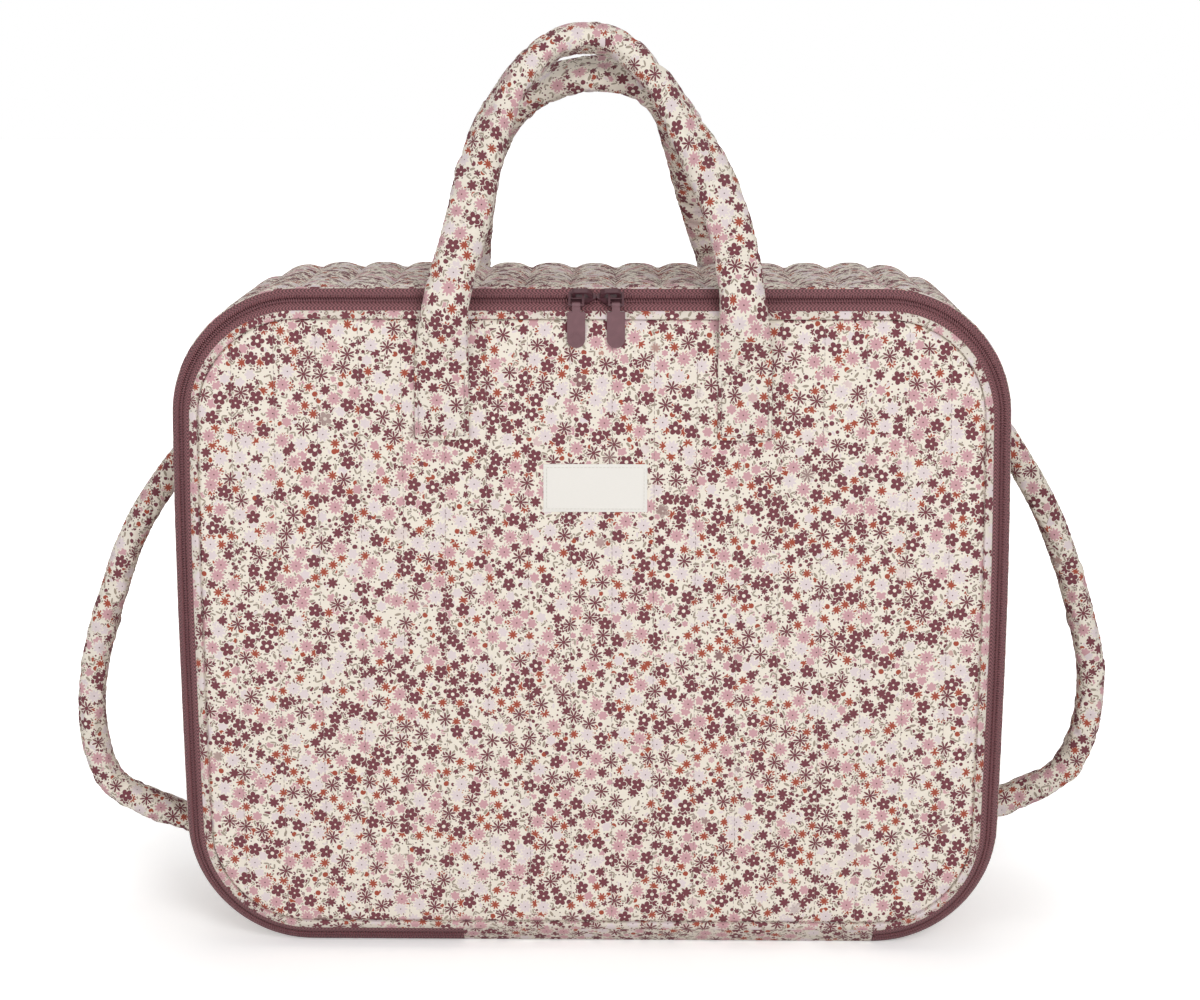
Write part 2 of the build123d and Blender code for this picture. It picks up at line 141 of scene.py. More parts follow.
class Signal:
    """A shader socket that Python's operators work on."""

    def __init__(self, desk: "NodeDesk", socket: bpy.types.NodeSocket) -> None:
        """Keeps the desk that adds nodes and the socket that carries the value."""
        self.desk = desk
        self.socket = socket

    def __add__(self, other: Any) -> "Signal":
        """Sum of two values."""
        return self.desk.math("ADD", self, other)

    def __radd__(self, other: Any) -> "Signal":
        """Sum with a plain number first."""
        return self.desk.math("ADD", other, self)

    def __sub__(self, other: Any) -> "Signal":
        """Difference of two values."""
        return self.desk.math("SUBTRACT", self, other)

    def __rsub__(self, other: Any) -> "Signal":
        """Difference from a plain number."""
        return self.desk.math("SUBTRACT", other, self)

    def __mul__(self, other: Any) -> "Signal":
        """Product of two values."""
        return self.desk.math("MULTIPLY", self, other)

    def __truediv__(self, other: Any) -> "Signal":
        """Quotient of two values."""
        return self.desk.math("DIVIDE", self, other)

    def __pow__(self, other: Any) -> "Signal":
        """This value raised to a power."""
        return self.desk.math("POWER", self, other)

    def __abs__(self) -> "Signal":
        """Absolute value."""
        return self.desk.math("ABSOLUTE", self)

    def sine(self) -> "Signal":
        """Sine of an angle in radians."""
        return self.desk.math("SINE", self)

    def cosine(self) -> "Signal":
        """Cosine of an angle in radians."""
        return self.desk.math("COSINE", self)

    def below(self, edge: Any, softness: float) -> "Signal":
        """1 where this value is under the edge and 0 over it.

        Args:
            edge: Value or signal of the edge.
            softness: Width over which it changes.

        Returns:
            The mask.
        """
        return self.desk.math("ADD", (edge - self) * (1.0 / softness), 0.5, clamp=True)

    def above(self, edge: float, softness: float) -> "Signal":
        """1 where this value is over the edge and 0 under it."""
        return self.desk.math("ADD", (self - edge) * (1.0 / softness), 0.5, clamp=True)


class NodeDesk:
    """Builds one procedural material."""

    def __init__(self, name: str) -> None:
        """Starts an empty material of that name."""
        self.material = bpy.data.materials.new(name)
        self.material.use_nodes = True
        self.tree = self.material.node_tree
        self.tree.nodes.clear()

    def node(
        self,
        kind: str,
        settings: dict[str, Any] | None = None,
        sockets: dict[Any, Any] | None = None,
        output: Any = 0,
    ) -> Signal:
        """Adds any node.

        Args:
            kind: Node type's name.
            settings: Properties, set before the sockets.
            sockets: Values or signals by socket name or index.
            output: Name or index of the output that is wanted.

        Returns:
            The output as a signal, whose node gives the others.
        """
        made = self.tree.nodes.new(kind)
        for key, value in (settings or {}).items():
            setattr(made, key, value)
        for key, value in (sockets or {}).items():
            target = made.inputs[key]
            if isinstance(value, Signal):
                self.tree.links.new(value.socket, target)
            else:
                target.default_value = value
        return Signal(self, made.outputs[output])

    def other(self, signal: Signal, output: str) -> Signal:
        """Another output of the node that a signal comes from."""
        return Signal(self, signal.socket.node.outputs[output])

    def math(self, operation: str, first: Any, second: Any = None, clamp: bool = False) -> Signal:
        """Adds a Math node.

        Args:
            operation: Its operation.
            first: First value or signal.
            second: Second value or signal, if it takes one.
            clamp: Keeps the result from 0 to 1.

        Returns:
            The result.
        """
        sockets = {0: first} if second is None else {0: first, 1: second}
        return self.node("ShaderNodeMath", {"operation": operation, "use_clamp": clamp}, sockets)

    def mix(self, share: Any, first: Any, second: Any) -> Signal:
        """Mixes two colours.

        Args:
            share: 0 gives the first colour and 1 the second.
            first: First colour or signal.
            second: Second colour or signal.

        Returns:
            The mixed colour.
        """
        colours = [c if isinstance(c, Signal) else (*c, 1.0) for c in (first, second)]
        settings = {"data_type": "RGBA", "clamp_factor": True}
        return self.node("ShaderNodeMix", settings, {0: share, 6: colours[0], 7: colours[1]}, 2)

    def parts(self, vector: Signal) -> tuple[Signal, Signal, Signal]:
        """The three numbers of a vector or colour."""
        first = self.node("ShaderNodeSeparateXYZ", sockets={0: vector})
        return first, self.other(first, "Y"), self.other(first, "Z")

    def map_vector(self) -> Signal:
        """The piece's own UV map, in metres."""
        return self.node("ShaderNodeUVMap", {"uv_map": "cloth"})

    def object_vector(self) -> Signal:
        """Object coordinates, in metres."""
        return self.node("ShaderNodeTexCoord", output="Object")

    def turned(
        self, vector: Signal, angle: float, shift: Pair, stretch: Pair = (1.0, 1.0)
    ) -> Signal:
        """Moves and turns a pattern.

        Args:
            vector: Coordinates to treat.
            angle: Turn in degrees.
            shift: Move in metres.
            stretch: Scale along each axis.

        Returns:
            The new coordinates.
        """
        return self.node(
            "ShaderNodeMapping",
            sockets={
                "Vector": vector,
                "Location": (shift[0], shift[1], 0.0),
                "Rotation": (0.0, 0.0, math.radians(angle)),
                "Scale": (stretch[0], stretch[1], 1.0),
            },
        )

    def cloud(
        self, vector: Signal, scale: float, detail: float = 3.0, rough: float = 0.55
    ) -> Signal:
        """Noise from 0 to 1.

        Args:
            vector: Coordinates in metres.
            scale: Features per metre.
            detail: Number of octaves.
            rough: Strength of the finer ones.

        Returns:
            The noise.
        """
        sockets = {"Vector": vector, "Scale": scale, "Detail": detail, "Roughness": rough}
        return self.node("ShaderNodeTexNoise", sockets=sockets)

    def finish(
        self,
        colour: Any,
        roughness: Any,
        height: Signal | None = None,
        depth: float = 0.0003,
        plain: dict[str, Any] | None = None,
    ) -> Material:
        """Closes the material with a surface.

        Args:
            colour: Base colour or signal.
            roughness: Roughness or signal.
            height: Bump height from 0 to 1, if any.
            depth: Real depth of that bump in metres.
            plain: Other values that are the same all over.

        Returns:
            The material.
        """
        sockets: dict[Any, Any] = {
            "Base Color": colour if isinstance(colour, Signal) else (*colour, 1.0),
            "Roughness": roughness,
        }
        sockets.update(plain or {})
        if height is not None:
            bump = {"Strength": 1.0, "Distance": depth, "Height": height}
            sockets["Normal"] = self.node("ShaderNodeBump", sockets=bump)
        surface = self.node("ShaderNodeBsdfPrincipled", sockets=sockets)
        end = self.tree.nodes.new("ShaderNodeOutputMaterial")
        self.tree.links.new(surface.socket, end.inputs["Surface"])
        return self.material


# Finishes


class Motif(Enum):
    """The kinds of small figure in the print."""

    FLOWER = "flower"
    LEAF = "leaf"
    TWIG = "twig"
    BERRY = "berry"


CREAM: Colour = (0.800, 0.740, 0.645)
PLUM: Colour = (0.160, 0.038, 0.052)
RUST: Colour = (0.340, 0.062, 0.034)
PINK: Colour = (0.560, 0.320, 0.345)
LILAC: Colour = (0.690, 0.600, 0.610)
SAGE: Colour = (0.330, 0.275, 0.215)
INK: Colour = (0.085, 0.024, 0.032)


@dataclass(frozen=True)
class Figure:
    """One figure of the print, drawn in the cells whose chance falls between low and high.

    The petal's middle, half-length and half-width are shares of the reach, in metres.
    """

    motif: Motif
    low: float
    high: float
    reach: float
    colour: Colour
    petals: int = 5
    petal: Size = (0.56, 0.44, 0.34)
    heart: float = 0.3
    eye: Colour | None = None
    eye_size: float = 0.12
    bunched: bool = False


@dataclass(frozen=True)
class Scatter:
    """A jittered field of cells that each hold one figure at most."""

    cell: float
    jitter: float
    turn: float
    figures: tuple[Figure, ...]


ROUND_PETAL: Size = (0.60, 0.40, 0.35)
BROAD_PETAL: Size = (0.52, 0.48, 0.33)

DITSY: tuple[Scatter, ...] = (
    Scatter(3.4e-3, 0.9, 11.0, (
        Figure(Motif.BERRY, 0.0, 0.72, 0.45e-3, INK),
        Figure(Motif.BERRY, 0.72, 1.0, 0.60e-3, PLUM),
    )),
    Scatter(4.4e-3, 0.75, 68.0, (
        Figure(Motif.FLOWER, 0.0, 0.17, 2.2e-3, PLUM, 7, (0.6, 0.4, 0.24), 0.4),
        Figure(Motif.BERRY, 0.17, 0.29, 1.45e-3, PLUM),
        Figure(Motif.BERRY, 0.29, 0.38, 1.60e-3, RUST),
        Figure(Motif.FLOWER, 0.38, 0.45, 2.0e-3, PINK, 6, (0.55, 0.45, 0.34), 0.4),
        Figure(Motif.BERRY, 0.45, 0.98, 1.10e-3, PLUM, bunched=True),
    )),
    Scatter(5.2e-3, 0.85, 33.0, (
        Figure(Motif.LEAF, 0.0, 0.28, 1.95e-3, SAGE),
        Figure(Motif.TWIG, 0.28, 0.76, 3.6e-3, SAGE),
        Figure(Motif.LEAF, 0.76, 0.84, 1.6e-3, LILAC),
    )),
    Scatter(7.0e-3, 0.6, 52.0, (
        Figure(Motif.FLOWER, 0.0, 0.20, 3.0e-3, RUST, 8, (0.56, 0.44, 0.18), 0.42),
        Figure(Motif.FLOWER, 0.20, 0.41, 3.4e-3, PLUM, 7, (0.58, 0.42, 0.24), 0.40),
        Figure(Motif.FLOWER, 0.41, 0.48, 3.1e-3, PINK, 6, BROAD_PETAL, 0.5),
        Figure(Motif.FLOWER, 0.48, 0.54, 3.1e-3, LILAC, 6, BROAD_PETAL, 0.5),
    )),
    Scatter(10.2e-3, 0.45, 19.0, (
        Figure(Motif.FLOWER, 0.0, 0.16, 4.2e-3, PLUM, 5, ROUND_PETAL, 0.44, CREAM, 0.13),
        Figure(Motif.FLOWER, 0.16, 0.22, 4.3e-3, PLUM, 5, ROUND_PETAL, 0.44, CREAM, 0.25),
        Figure(Motif.FLOWER, 0.22, 0.35, 4.4e-3, PLUM, 8, (0.60, 0.40, 0.14), 0.26),
        Figure(Motif.FLOWER, 0.35, 0.51, 4.3e-3, PINK, 10, (0.56, 0.44, 0.17), 0.62, INK, 0.10),
        Figure(Motif.FLOWER, 0.51, 0.65, 4.2e-3, LILAC, 9, (0.56, 0.44, 0.18), 0.60, INK, 0.09),
    )),
)


@dataclass(frozen=True)
class PrintedCotton:
    """A ditsy print of small flowers, twigs and berries on a cream ground."""

    name: str
    ground: Colour = CREAM
    weave_pitch: float = 0.00055
    wrinkle_stretch: Pair = (1.0, 1.0)
    wrinkle_depth: float = 0.0007
    wrinkle_scale: float = 85.0
    halo: float = 0.00032
    edge: float = 0.00014
    chance_edge: float = 0.002
    field_shift: Pair = (0.137, 0.071)
    bunch_scale: float = 62.0
    bunch_from: float = 0.53
    leaf_width: float = 0.40
    twig_width: float = 0.15
    twig_lean: Pair = (0.78, 0.62)
    grain_tone: Colour = (0.30, 0.24, 0.23)
    scatters: tuple[Scatter, ...] = DITSY

    def build(self) -> Material:
        """Builds the cloth's material.

        Returns:
            The material.
        """
        desk = NodeDesk(self.name)
        vector = desk.map_vector()
        fade = desk.cloud(vector, 9.0, 2.0)
        colour = desk.mix(fade * 0.5, self.ground, tuple(c * 0.93 for c in self.ground))
        for index, scatter in enumerate(self.scatters):
            colour = self._strew(desk, vector, colour, scatter, index)
        u, v, _ = desk.parts(vector)
        turns = 2 * math.pi / self.weave_pitch
        weave = (u * turns).sine() * (v * turns).sine()
        creased = desk.turned(vector, 0.0, (0.0, 0.0), self.wrinkle_stretch)
        folds = desk.cloud(creased, self.wrinkle_scale, 3.0, 0.5)
        height = folds + weave * 0.035
        grain = desk.cloud(vector, 2200.0, 1.0)
        colour = desk.mix(grain * 0.10, colour, self.grain_tone)
        finer = {"Sheen Weight": 0.06, "Sheen Roughness": 0.5, "Specular IOR Level": 0.3}
        return desk.finish(colour, 0.88 + fade * 0.06, height, self.wrinkle_depth, finer)

    def _strew(
        self, desk: NodeDesk, vector: Signal, below: Signal, scatter: Scatter, index: int
    ) -> Signal:
        """Paints one field of figures over what is below it.

        Args:
            desk: The material's desk.
            vector: Cloth coordinates.
            below: Colour so far.
            scatter: The field.
            index: Its place in the stack.

        Returns:
            The new colour.
        """
        across, up = self.field_shift
        here = desk.turned(vector, scatter.turn, (across * (index + 1), up * (index + 2)))
        cells = desk.node(
            "ShaderNodeTexVoronoi",
            {"voronoi_dimensions": "2D", "feature": "F1"},
            {"Vector": here, "Scale": 1.0 / scatter.cell, "Randomness": scatter.jitter},
            "Color",
        )
        centre = desk.other(cells, "Position")
        chance, spin, _ = desk.parts(cells)
        gap = desk.node("ShaderNodeVectorMath", {"operation": "SUBTRACT"}, {0: here, 1: centre})
        distance = desk.node("ShaderNodeVectorMath", {"operation": "LENGTH"}, {0: gap}, "Value")
        x, y, _ = desk.parts(gap)
        turn = spin * FULL_TURN
        c, k = turn.cosine(), turn.sine()
        spun = (x * c + y * k, y * c - x * k)
        bunches = None
        colour = below
        for figure in scatter.figures:
            soft = self.chance_edge
            mask = chance.above(figure.low, soft) * chance.below(figure.high, soft)
            if figure.bunched:
                if bunches is None:
                    bunches = desk.cloud(centre, self.bunch_scale, 0.0)
                    bunches = bunches.above(self.bunch_from, 0.02)
                mask = mask * bunches
            past = self._shape(desk, figure, spun, distance)
            colour = desk.mix(past.below(self.halo, self.edge) * mask, colour, self.ground)
            colour = desk.mix(past.below(0.0, self.edge) * mask, colour, figure.colour)
            if figure.eye is not None:
                eye = distance.below(figure.reach * figure.eye_size, self.edge) * mask
                colour = desk.mix(eye, colour, figure.eye)
        return colour

    def _shape(
        self, desk: NodeDesk, figure: Figure, spun: tuple[Signal, Signal], distance: Signal
    ) -> Signal:
        """How far a place is outside a figure.

        Args:
            desk: The material's desk.
            figure: The figure.
            spun: Coordinates from the figure's middle, turned by its spin.
            distance: Distance from that middle.

        Returns:
            The distance in metres, negative inside.
        """
        x, y = spun
        reach = figure.reach
        if figure.motif is Motif.FLOWER:
            middle, length, width = (share * reach for share in figure.petal)
            sector = 2 * math.pi / figure.petals
            angle = desk.math("ARCTAN2", y, x) + 4 * math.pi
            angle = desk.math("MODULO", angle, sector) - sector / 2
            along = (distance * angle.cosine() - middle) / length
            across = distance * angle.sine() / width
            petal = self._oval(along, across, width)
            return desk.math("MINIMUM", petal, distance - figure.heart * reach)
        if figure.motif is Motif.LEAF:
            width = reach * self.leaf_width
            return self._oval(x / reach, y / width, width)
        if figure.motif is Motif.TWIG:
            half, width = reach / 2, reach * self.twig_width
            away = abs(y)
            c, k = self.twig_lean
            along = (x * c + away * k - half) / half
            across = (away * c - x * k) / width
            return self._oval(along, across, width)
        return distance - reach

    @staticmethod
    def _oval(along: Signal, across: Signal, width: float) -> Signal:
        """How far a place is outside an oval.

        Args:
            along: Coordinate along the oval, 1 at its end.
            across: Coordinate across it, 1 at its side.
            width: Half of its width in metres.

        Returns:
            The distance in metres, negative inside.
        """
        return ((along * along + across * across) ** 0.5 - 1.0) * width


@dataclass(frozen=True)
class TwillTape:
    """Woven tape with a herringbone grain, its colour painted lighter on the raised ribs and darker
    in the grooves as painted highlight and shade.
    """

    name: str
    colour: Colour = (0.170, 0.062, 0.070)
    rib: float = 0.0022
    bands: float = 0.0040
    thread: float = 0.00045

    def build(self) -> Material:
        """Builds the tape's material.

        Returns:
            The material.
        """
        desk = NodeDesk(self.name)
        vector = desk.map_vector()
        u, v, _ = desk.parts(vector)
        zigzag = abs((v * (math.pi / self.bands)).sine()) * self.bands * 0.55
        ribs = ((u + zigzag) * (2 * math.pi / self.rib)).sine()
        threads = (v * (2 * math.pi / self.thread)).sine()
        height = ribs * 0.35 + threads * 0.12 + 0.5
        grain = desk.cloud(vector, 900.0, 2.0)
        # Painted highlight and shade: lit and shaded copies of the tape colour, mixed by the rib
        # relief; the grain noise adds random tone.
        light = tuple(min(1.0, c * 1.9) for c in self.colour)
        dark = tuple(c * 0.34 for c in self.colour)
        colour = desk.mix(ribs * 0.42 + grain * 0.30 + 0.30, dark, light)
        return desk.finish(colour, 0.74, height, 0.0002, {"Sheen Weight": 0.06})


@dataclass(frozen=True)
class MouldedPlastic:
    """Satin moulded plastic or paint with faint marks of use."""

    name: str
    colour: Colour = (0.150, 0.055, 0.080)
    roughness: float = 0.42

    def build(self) -> Material:
        """Builds the plastic's material.

        Returns:
            The material.
        """
        desk = NodeDesk(self.name)
        vector = desk.object_vector()
        grain = desk.cloud(vector, 2600.0, 2.0)
        marks = desk.cloud(vector, 260.0, 4.0)
        worn = tuple(min(1.0, c * 1.35) for c in self.colour)
        colour = desk.mix(marks.above(0.56, 0.2) * 0.35, self.colour, worn)
        return desk.finish(
            colour, self.roughness + marks * 0.14, grain, 0.00003, {"Coat Weight": 0.06}
        )


@dataclass(frozen=True)
class PlainCloth:
    """Plain woven cloth."""

    name: str
    colour: Colour = (0.36, 0.21, 0.22)
    thread: float = 0.0005
    roughness: float = 0.8
    creases: float = 0.0004

    def build(self) -> Material:
        """Builds the cloth's material.

        Returns:
            The material.
        """
        desk = NodeDesk(self.name)
        vector = desk.map_vector()
        u, v, _ = desk.parts(vector)
        turns = 2 * math.pi / self.thread
        weave = (u * turns).sine() * (v * turns).sine()
        creased = desk.cloud(vector, 60.0, 4.0)
        slub = desk.cloud(desk.turned(vector, 0.0, (0.0, 0.0), (1.0, 9.0)), 420.0, 2.0)
        dark = tuple(c * 0.88 for c in self.colour)
        colour = desk.mix(slub * 0.6 + weave * 0.12, self.colour, dark)
        height = creased + weave * 0.09 + slub * 0.05
        return desk.finish(colour, self.roughness, height, self.creases, {"Sheen Weight": 0.1})


@dataclass(frozen=True)
class Thread:
    """Twisted sewing thread."""

    name: str
    colour: Colour = (0.36, 0.26, 0.24)

    def build(self) -> Material:
        """Builds the thread's material.

        Returns:
            The material.
        """
        desk = NodeDesk(self.name)
        vector = desk.object_vector()
        x, y, z = desk.parts(vector)
        twist = ((x + y * 0.6 + z) * 9000.0).sine()
        dark = tuple(c * 0.7 for c in self.colour)
        colour = desk.mix(twist * 0.4 + 0.4, dark, self.colour)
        return desk.finish(colour, 0.7, twist, 0.00005, {"Sheen Weight": 0.1})


@dataclass(frozen=True)
class OpenFoam:
    """Soft foam sheet with fine open cells."""

    name: str
    colour: Colour = (0.70, 0.68, 0.62)
    cells_per_metre: float = 1400.0

    def build(self) -> Material:
        """Builds the foam's material.

        Returns:
            The material.
        """
        desk = NodeDesk(self.name)
        vector = desk.object_vector()
        sockets = {"Vector": vector, "Scale": self.cells_per_metre}
        cells = desk.node("ShaderNodeTexVoronoi", None, sockets, "Distance")
        colour = desk.mix(cells, self.colour, tuple(c * 0.7 for c in self.colour))
        return desk.finish(colour, 0.95, cells, 0.0003)


@dataclass(frozen=True)
class Finishes:
    """All the suitcase's materials, built once."""

    quilt: Material
    gusset: Material
    strap: Material
    trim: Material
    tape: Material
    binding: Material
    coil: Material
    cord: Material
    slider: Material
    pull: Material
    label: Material
    lining: Material
    foam: Material
    thread: Material
    label_thread: Material

    @classmethod
    def mixed(cls) -> "Finishes":
        """Builds every finish.

        Returns:
            The set of materials.
        """
        return cls(
            quilt=PrintedCotton("quilted_print").build(),
            gusset=PrintedCotton(
                "gusset_print", wrinkle_stretch=(1.0, 3.2), wrinkle_depth=0.0011, wrinkle_scale=75.0
            ).build(),
            strap=PrintedCotton(
                "strap_print", wrinkle_stretch=(2.4, 0.7), wrinkle_depth=0.0012, wrinkle_scale=60.0
            ).build(),
            # The trim's ground is darker than the quilt's cream as painted shade for the shadowed
            # border; the print on it is its own.
            trim=PrintedCotton(
                "trim_print", (0.70, 0.64, 0.56), wrinkle_depth=0.0008, wrinkle_scale=160.0
            ).build(),
            tape=TwillTape("zip_tape_twill").build(),
            binding=TwillTape("binding_twill", (0.21, 0.09, 0.10), 0.0016, 0.0065).build(),
            coil=MouldedPlastic("coil_plastic", (0.235, 0.088, 0.098), 0.28).build(),
            # Plum thread made lighter than the tape as a painted highlight along the coil's stitch
            # row.
            cord=Thread("coil_thread", (0.25, 0.10, 0.115)).build(),
            # Dark plum paint, darkened further as painted shade for the sliders' shading; the pull
            # links share it.
            slider=MouldedPlastic("slider_paint", (0.080, 0.028, 0.036), 0.34).build(),
            pull=MouldedPlastic("pull_paint", (0.150, 0.068, 0.080), 0.40).build(),
            label=PlainCloth("label_cloth", (0.765, 0.742, 0.700), 0.00045, 0.85, 0.00018).build(),
            lining=PlainCloth("lining_cloth", (0.36, 0.22, 0.23)).build(),
            foam=OpenFoam("foam_sheet").build(),
            thread=Thread("quilting_thread").build(),
            label_thread=Thread("label_thread", (0.72, 0.68, 0.62)).build(),
        )


# Shapes


@dataclass(frozen=True)
class BodyOutline:
    """The suitcase's rounded outline seen from the front, and how the soft body settles."""

    width: float = 490 * MM
    height: float = 401.5 * MM
    depth: float = 160 * MM
    radius: float = 74 * MM
    side_bow: float = 2.2 * MM
    unevenness: float = 0.7 * MM
    channel_pitch: float = 26.8 * MM

    @property
    def straight_half(self) -> float:
        """Half of the straight run along the top or bottom."""
        return self.width / 2 - self.radius

    @property
    def perimeter(self) -> float:
        """Length all round."""
        side = self.height - 2 * self.radius
        return 4 * self.straight_half + 2 * side + 2 * math.pi * self.radius

    def at(self, distance: float) -> tuple[float, float, float, float]:
        """A place on the outline.

        Args:
            distance: Length along it from the middle of the bottom, to the left.

        Returns:
            X, Z and the outward direction there.
        """
        side = self.height - 2 * self.radius
        arc = self.radius * math.pi / 2
        half = self.straight_half
        runs = (half, arc, side, arc, 2 * half, arc, side, arc, half)
        distance %= self.perimeter
        x, z, heading = 0.0, 0.0, math.pi
        for index, run in enumerate(runs):
            here = min(distance, run)
            if index % 2:
                cx = x + self.radius * math.sin(heading)
                cz = z - self.radius * math.cos(heading)
                heading -= here / self.radius
                x = cx - self.radius * math.sin(heading)
                z = cz + self.radius * math.cos(heading)
            else:
                x += here * math.cos(heading)
                z += here * math.sin(heading)
            distance -= here
            if distance <= 1e-12:
                break
        return x, z, -math.sin(heading), math.cos(heading)

    def distance_at(self, x: float, z: float) -> float:
        """The length along the outline to its point nearest to a place.

        Args:
            x: The place's X.
            z: The place's Z.

        Returns:
            The distance from the middle of the bottom, to the left.
        """
        half, r, top = self.straight_half, self.radius, self.height - self.radius
        arc, side = r * math.pi / 2, self.height - 2 * r
        if abs(x) <= half:
            if z < self.height / 2:
                return -x % self.perimeter
            return 2 * half + 2 * arc + side + x
        if x < 0:
            if z < r:
                return half + r * math.atan2(-half - x, r - z)
            if z <= top:
                return half + arc + z - r
            return half + arc + side + r * math.atan2(z - top, -half - x)
        if z > top:
            return 3 * half + 2 * arc + side + r * math.atan2(x - half, z - top)
        if z >= r:
            return 3 * half + 3 * arc + side + top - z
        return 3 * half + 3 * arc + 2 * side + r * math.atan2(r - z, x - half)

    @property
    def channels(self) -> int:
        """Number of puffed channels all round, always even."""
        return 2 * round(self.perimeter / self.channel_pitch / 2)

    def channel(self, distance: float) -> tuple[int, float]:
        """The channel at a distance along the outline.

        Args:
            distance: Length along the outline.

        Returns:
            The channel's number, and 0 on its crest to 1 on its seam.
        """
        turn = distance * self.channels / self.perimeter + 0.5
        return math.floor(turn) % self.channels, abs(turn - math.floor(turn) - 0.5) * 2

    def place(self, distance: float, inset: float, depth: float) -> Vector:
        """A point at a distance along the outline, an inset from it and a depth.

        Args:
            distance: Length along the outline.
            inset: How far inside it.
            depth: The point's Y.

        Returns:
            The settled point.
        """
        x, z, nx, nz = self.at(distance)
        return self.settled(Vector((x - nx * inset, depth, z - nz * inset)))

    def settled(self, point: Vector) -> Vector:
        """Lets a point of the soft body bow and wander a little, the same for all layers.

        Args:
            point: The point on the true outline.

        Returns:
            The point on the settled body.
        """
        rise = math.sin(math.pi * min(1.0, max(0.0, (point.z - 0.02) / (self.height - 0.04))))
        side = smooth_step(0.12, self.width / 2, abs(point.x))
        wander = noise.noise_vector(Vector((point.x * 7.0, point.y * 3.0 + 4.0, point.z * 7.0)))
        free = smooth_step(0.03, 0.09, abs(point.x - 0.003)) * smooth_step(0.0, 0.06, point.z)
        moved = point + wander * self.unevenness * free
        moved.x += math.copysign(self.side_bow * rise * side, point.x)
        moved.z = max(moved.z, 0.0)
        return moved


@dataclass(frozen=True)
class ZipBand:
    """The zip's place across the front edge, at 45 degrees."""

    chain_inset: float = 6.0569 * MM
    chain_depth: float = -72.1040 * MM
    reach_front: float = 8.7 * MM
    reach_rear: float = 8.0 * MM
    hinge_from: float = 78 * MM
    hinge_to: float = -171 * MM

    def at(self, across: float, out: float) -> Pair:
        """Inset and depth of a point on the band.

        Args:
            across: Distance from the chain, positive to the lid.
            out: Height above the tape.

        Returns:
            Inset and depth.
        """
        slope = math.sqrt(0.5)
        return (
            self.chain_inset + (across - out) * slope,
            self.chain_depth - (across + out) * slope,
        )


